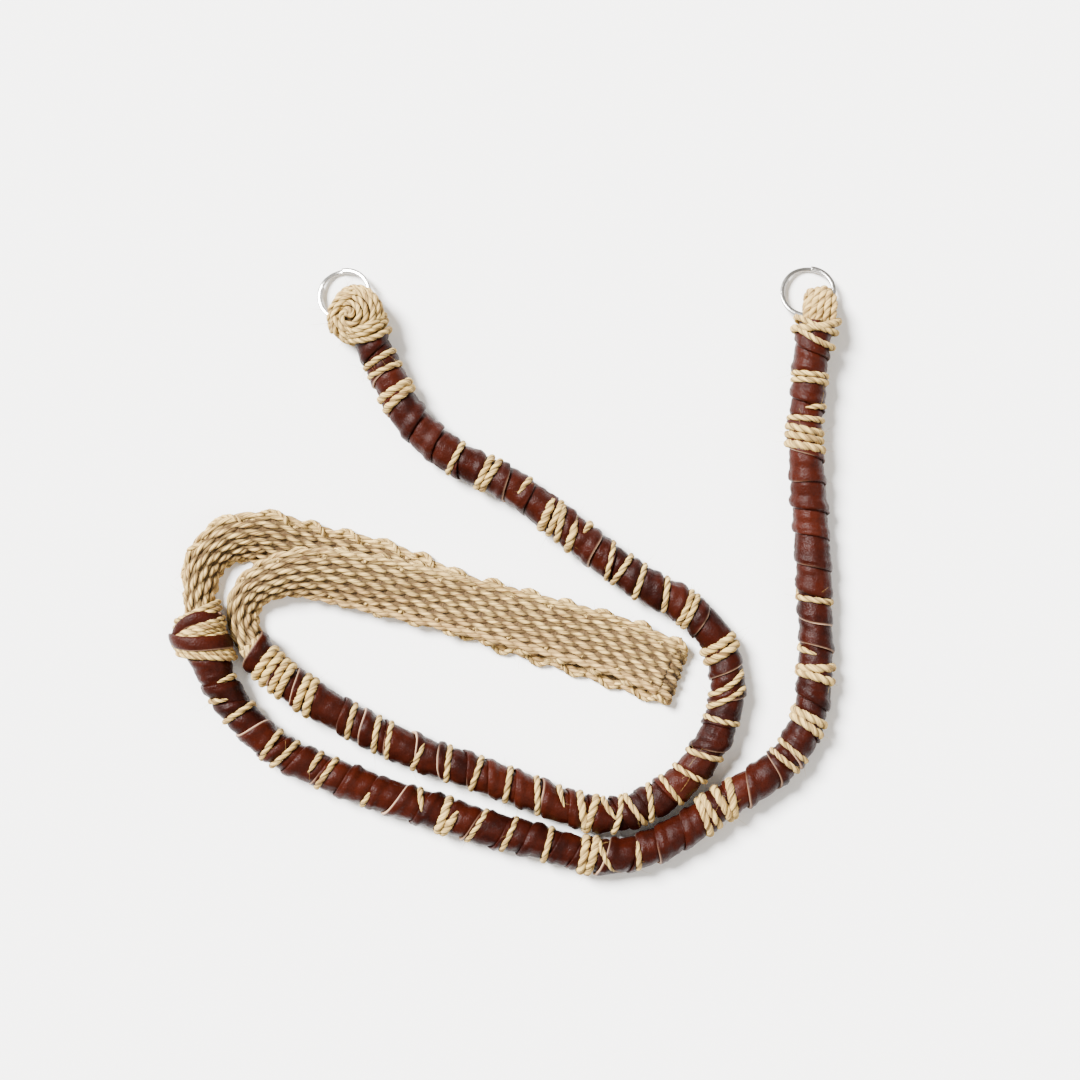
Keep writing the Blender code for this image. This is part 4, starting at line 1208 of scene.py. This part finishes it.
def makeBundles():
    # the cords inside the arms, seen in their mouths where the band runs into them
    pile = Pile()
    for arm, end, thick in bundle["ends"]:
        place = np.linspace(end - bundle["long"], end, bundle["steps"])
        pile.cord(arm.middle(place), thick * bundle["middle"], bundle["lay"], tone=0.4)
        for number in range(bundle["count"]):
            angle = 2 * math.pi * number / bundle["count"] + bundle["turned"]
            pile.cord(arm.at(place, angle, thick * bundle["out"]), thick, bundle["lay"],
                      phase=number * 1.1, tone=0.4)
    pile.build("arm_bundles", bandHemp, "hemp", ["cord_core_left", "cord_core_right"])


makeRopes()
makeBandCore()
makeEdgeLoops()
makeBundles()

fuzz = {
    "count": 900, "radius": 0.000045, "short": 0.0018, "long": 0.0060, "seed": 17, "tip": 0.45,
    "perArm": 260, "perRope": 60, "perHead": 70, "shown": 0.7, "lowest": 0.002, "steps": 6,
    "outward": 0.9, "bend": 0.45, "floor": 0.0002, "inner": 0.0015, "outer": 0.0006,
    "headReach": (0.0103, 0.0103, 0.0072), "round": 6.283,
}


def fuzzSources(chance):
    # places on the hemp from which a fibre may stand off, each with its outward direction
    sources = []
    for arm, cord in ((leftArm, leftCord), (rightArm, rightCord)):
        for index in chance.choice(len(cord["points"]), fuzz["perArm"], replace=False):
            point = cord["points"][index]
            if cord["shown"][index] >= fuzz["shown"] and point[2] >= fuzz["lowest"]:
                place = arm.locate(point[:2])[0]
                sources.append((point, unit(point - arm.middle(place))))
    for share in np.arange(-3, 4) * 2 / band["ropes"]:
        line, outward, sideways = ropeFrame(share)
        reach = fuzz["inner"] if share * share < 0.7 else fuzz["outer"]
        for index in chance.choice(len(line), fuzz["perRope"], replace=False):
            out = outward[index] + bandLine["across"][index] * share
            sources.append((line[index] + outward[index] * reach, unit(out)))
    centre = np.array([*fromPhoto(*leftHead["centre"]), leftHead["height"]])
    for turn, rise in chance.random((fuzz["perHead"], 2)):
        level, spin = math.sqrt(1.0 - rise * rise), fuzz["round"] * turn
        out = np.array([math.cos(spin) * level, math.sin(spin) * level, rise])
        sources.append((centre + out * fuzz["headReach"], out))
    return sources


def makeFuzz():
    # loose fibres that stand off the hemp cords
    chance = np.random.default_rng(fuzz["seed"])
    sources = fuzzSources(chance)
    pile = Pile()
    share = np.linspace(0.0, 1.0, fuzz["steps"])[:, None]
    radius = fuzz["radius"] * np.linspace(1.0, fuzz["tip"], fuzz["steps"])
    for index in chance.permutation(len(sources))[:fuzz["count"]]:
        origin, outward = sources[index]
        aim = unit(chance.normal(size=3) + outward * fuzz["outward"])
        bend = unit(chance.normal(size=3)) * fuzz["bend"]
        length = chance.uniform(fuzz["short"], fuzz["long"])
        line = above(origin + length * (aim * share + bend * share ** 2), fuzz["floor"])
        pile.tube(line, radius, 3, tone=0.1)
    pile.build("stray_fibres", cordHemp, "hemp")


makeFuzz()

# The room: each light's place, width in degrees, power and colour.
room = {
    "floor": (0.94, 0.94, 0.94, 1.0), "floorSize": 6.0, "floorRoughness": 0.9,
    "sky": (1.0, 0.94, 0.86, 1.0), "skyStrength": 0.62,
    "keyLight": ((-0.62, 0.50, 0.85), 22.0, 23.0, (1.0, 0.995, 0.98)),
    "fillLight": ((0.75, -0.35, 0.9), 40.0, 1.6, (1.0, 0.95, 0.89)),
}


def makeStage():
    bpy.ops.mesh.primitive_plane_add(size=room["floorSize"], location=(0.0, 0.0, 0.0))
    floor = bpy.context.object
    floor.name = "pale_floor"
    material, tree, shader = newMaterial("paleFloor")
    shader.inputs["Base Color"].default_value = room["floor"]
    shader.inputs["Roughness"].default_value = room["floorRoughness"]
    floor.data.materials.append(material)
    world = bpy.data.worlds.new("softRoom")
    bpy.context.scene.world = world
    world.use_nodes = True
    sky = world.node_tree.nodes["Background"]
    sky.inputs["Color"].default_value = room["sky"]
    sky.inputs["Strength"].default_value = room["skyStrength"]
    for name in ("keyLight", "fillLight"):
        place, wide, power, colour = room[name]
        bpy.ops.object.light_add(type="SUN", location=place)
        light = bpy.context.object
        light.name = name
        light.data.angle = math.radians(wide)
        light.data.energy = power
        light.data.color = colour
        light.rotation_euler = (-light.location).to_track_quat("-Z", "Y").to_euler()


makeStage()
print("floor and lights ready")
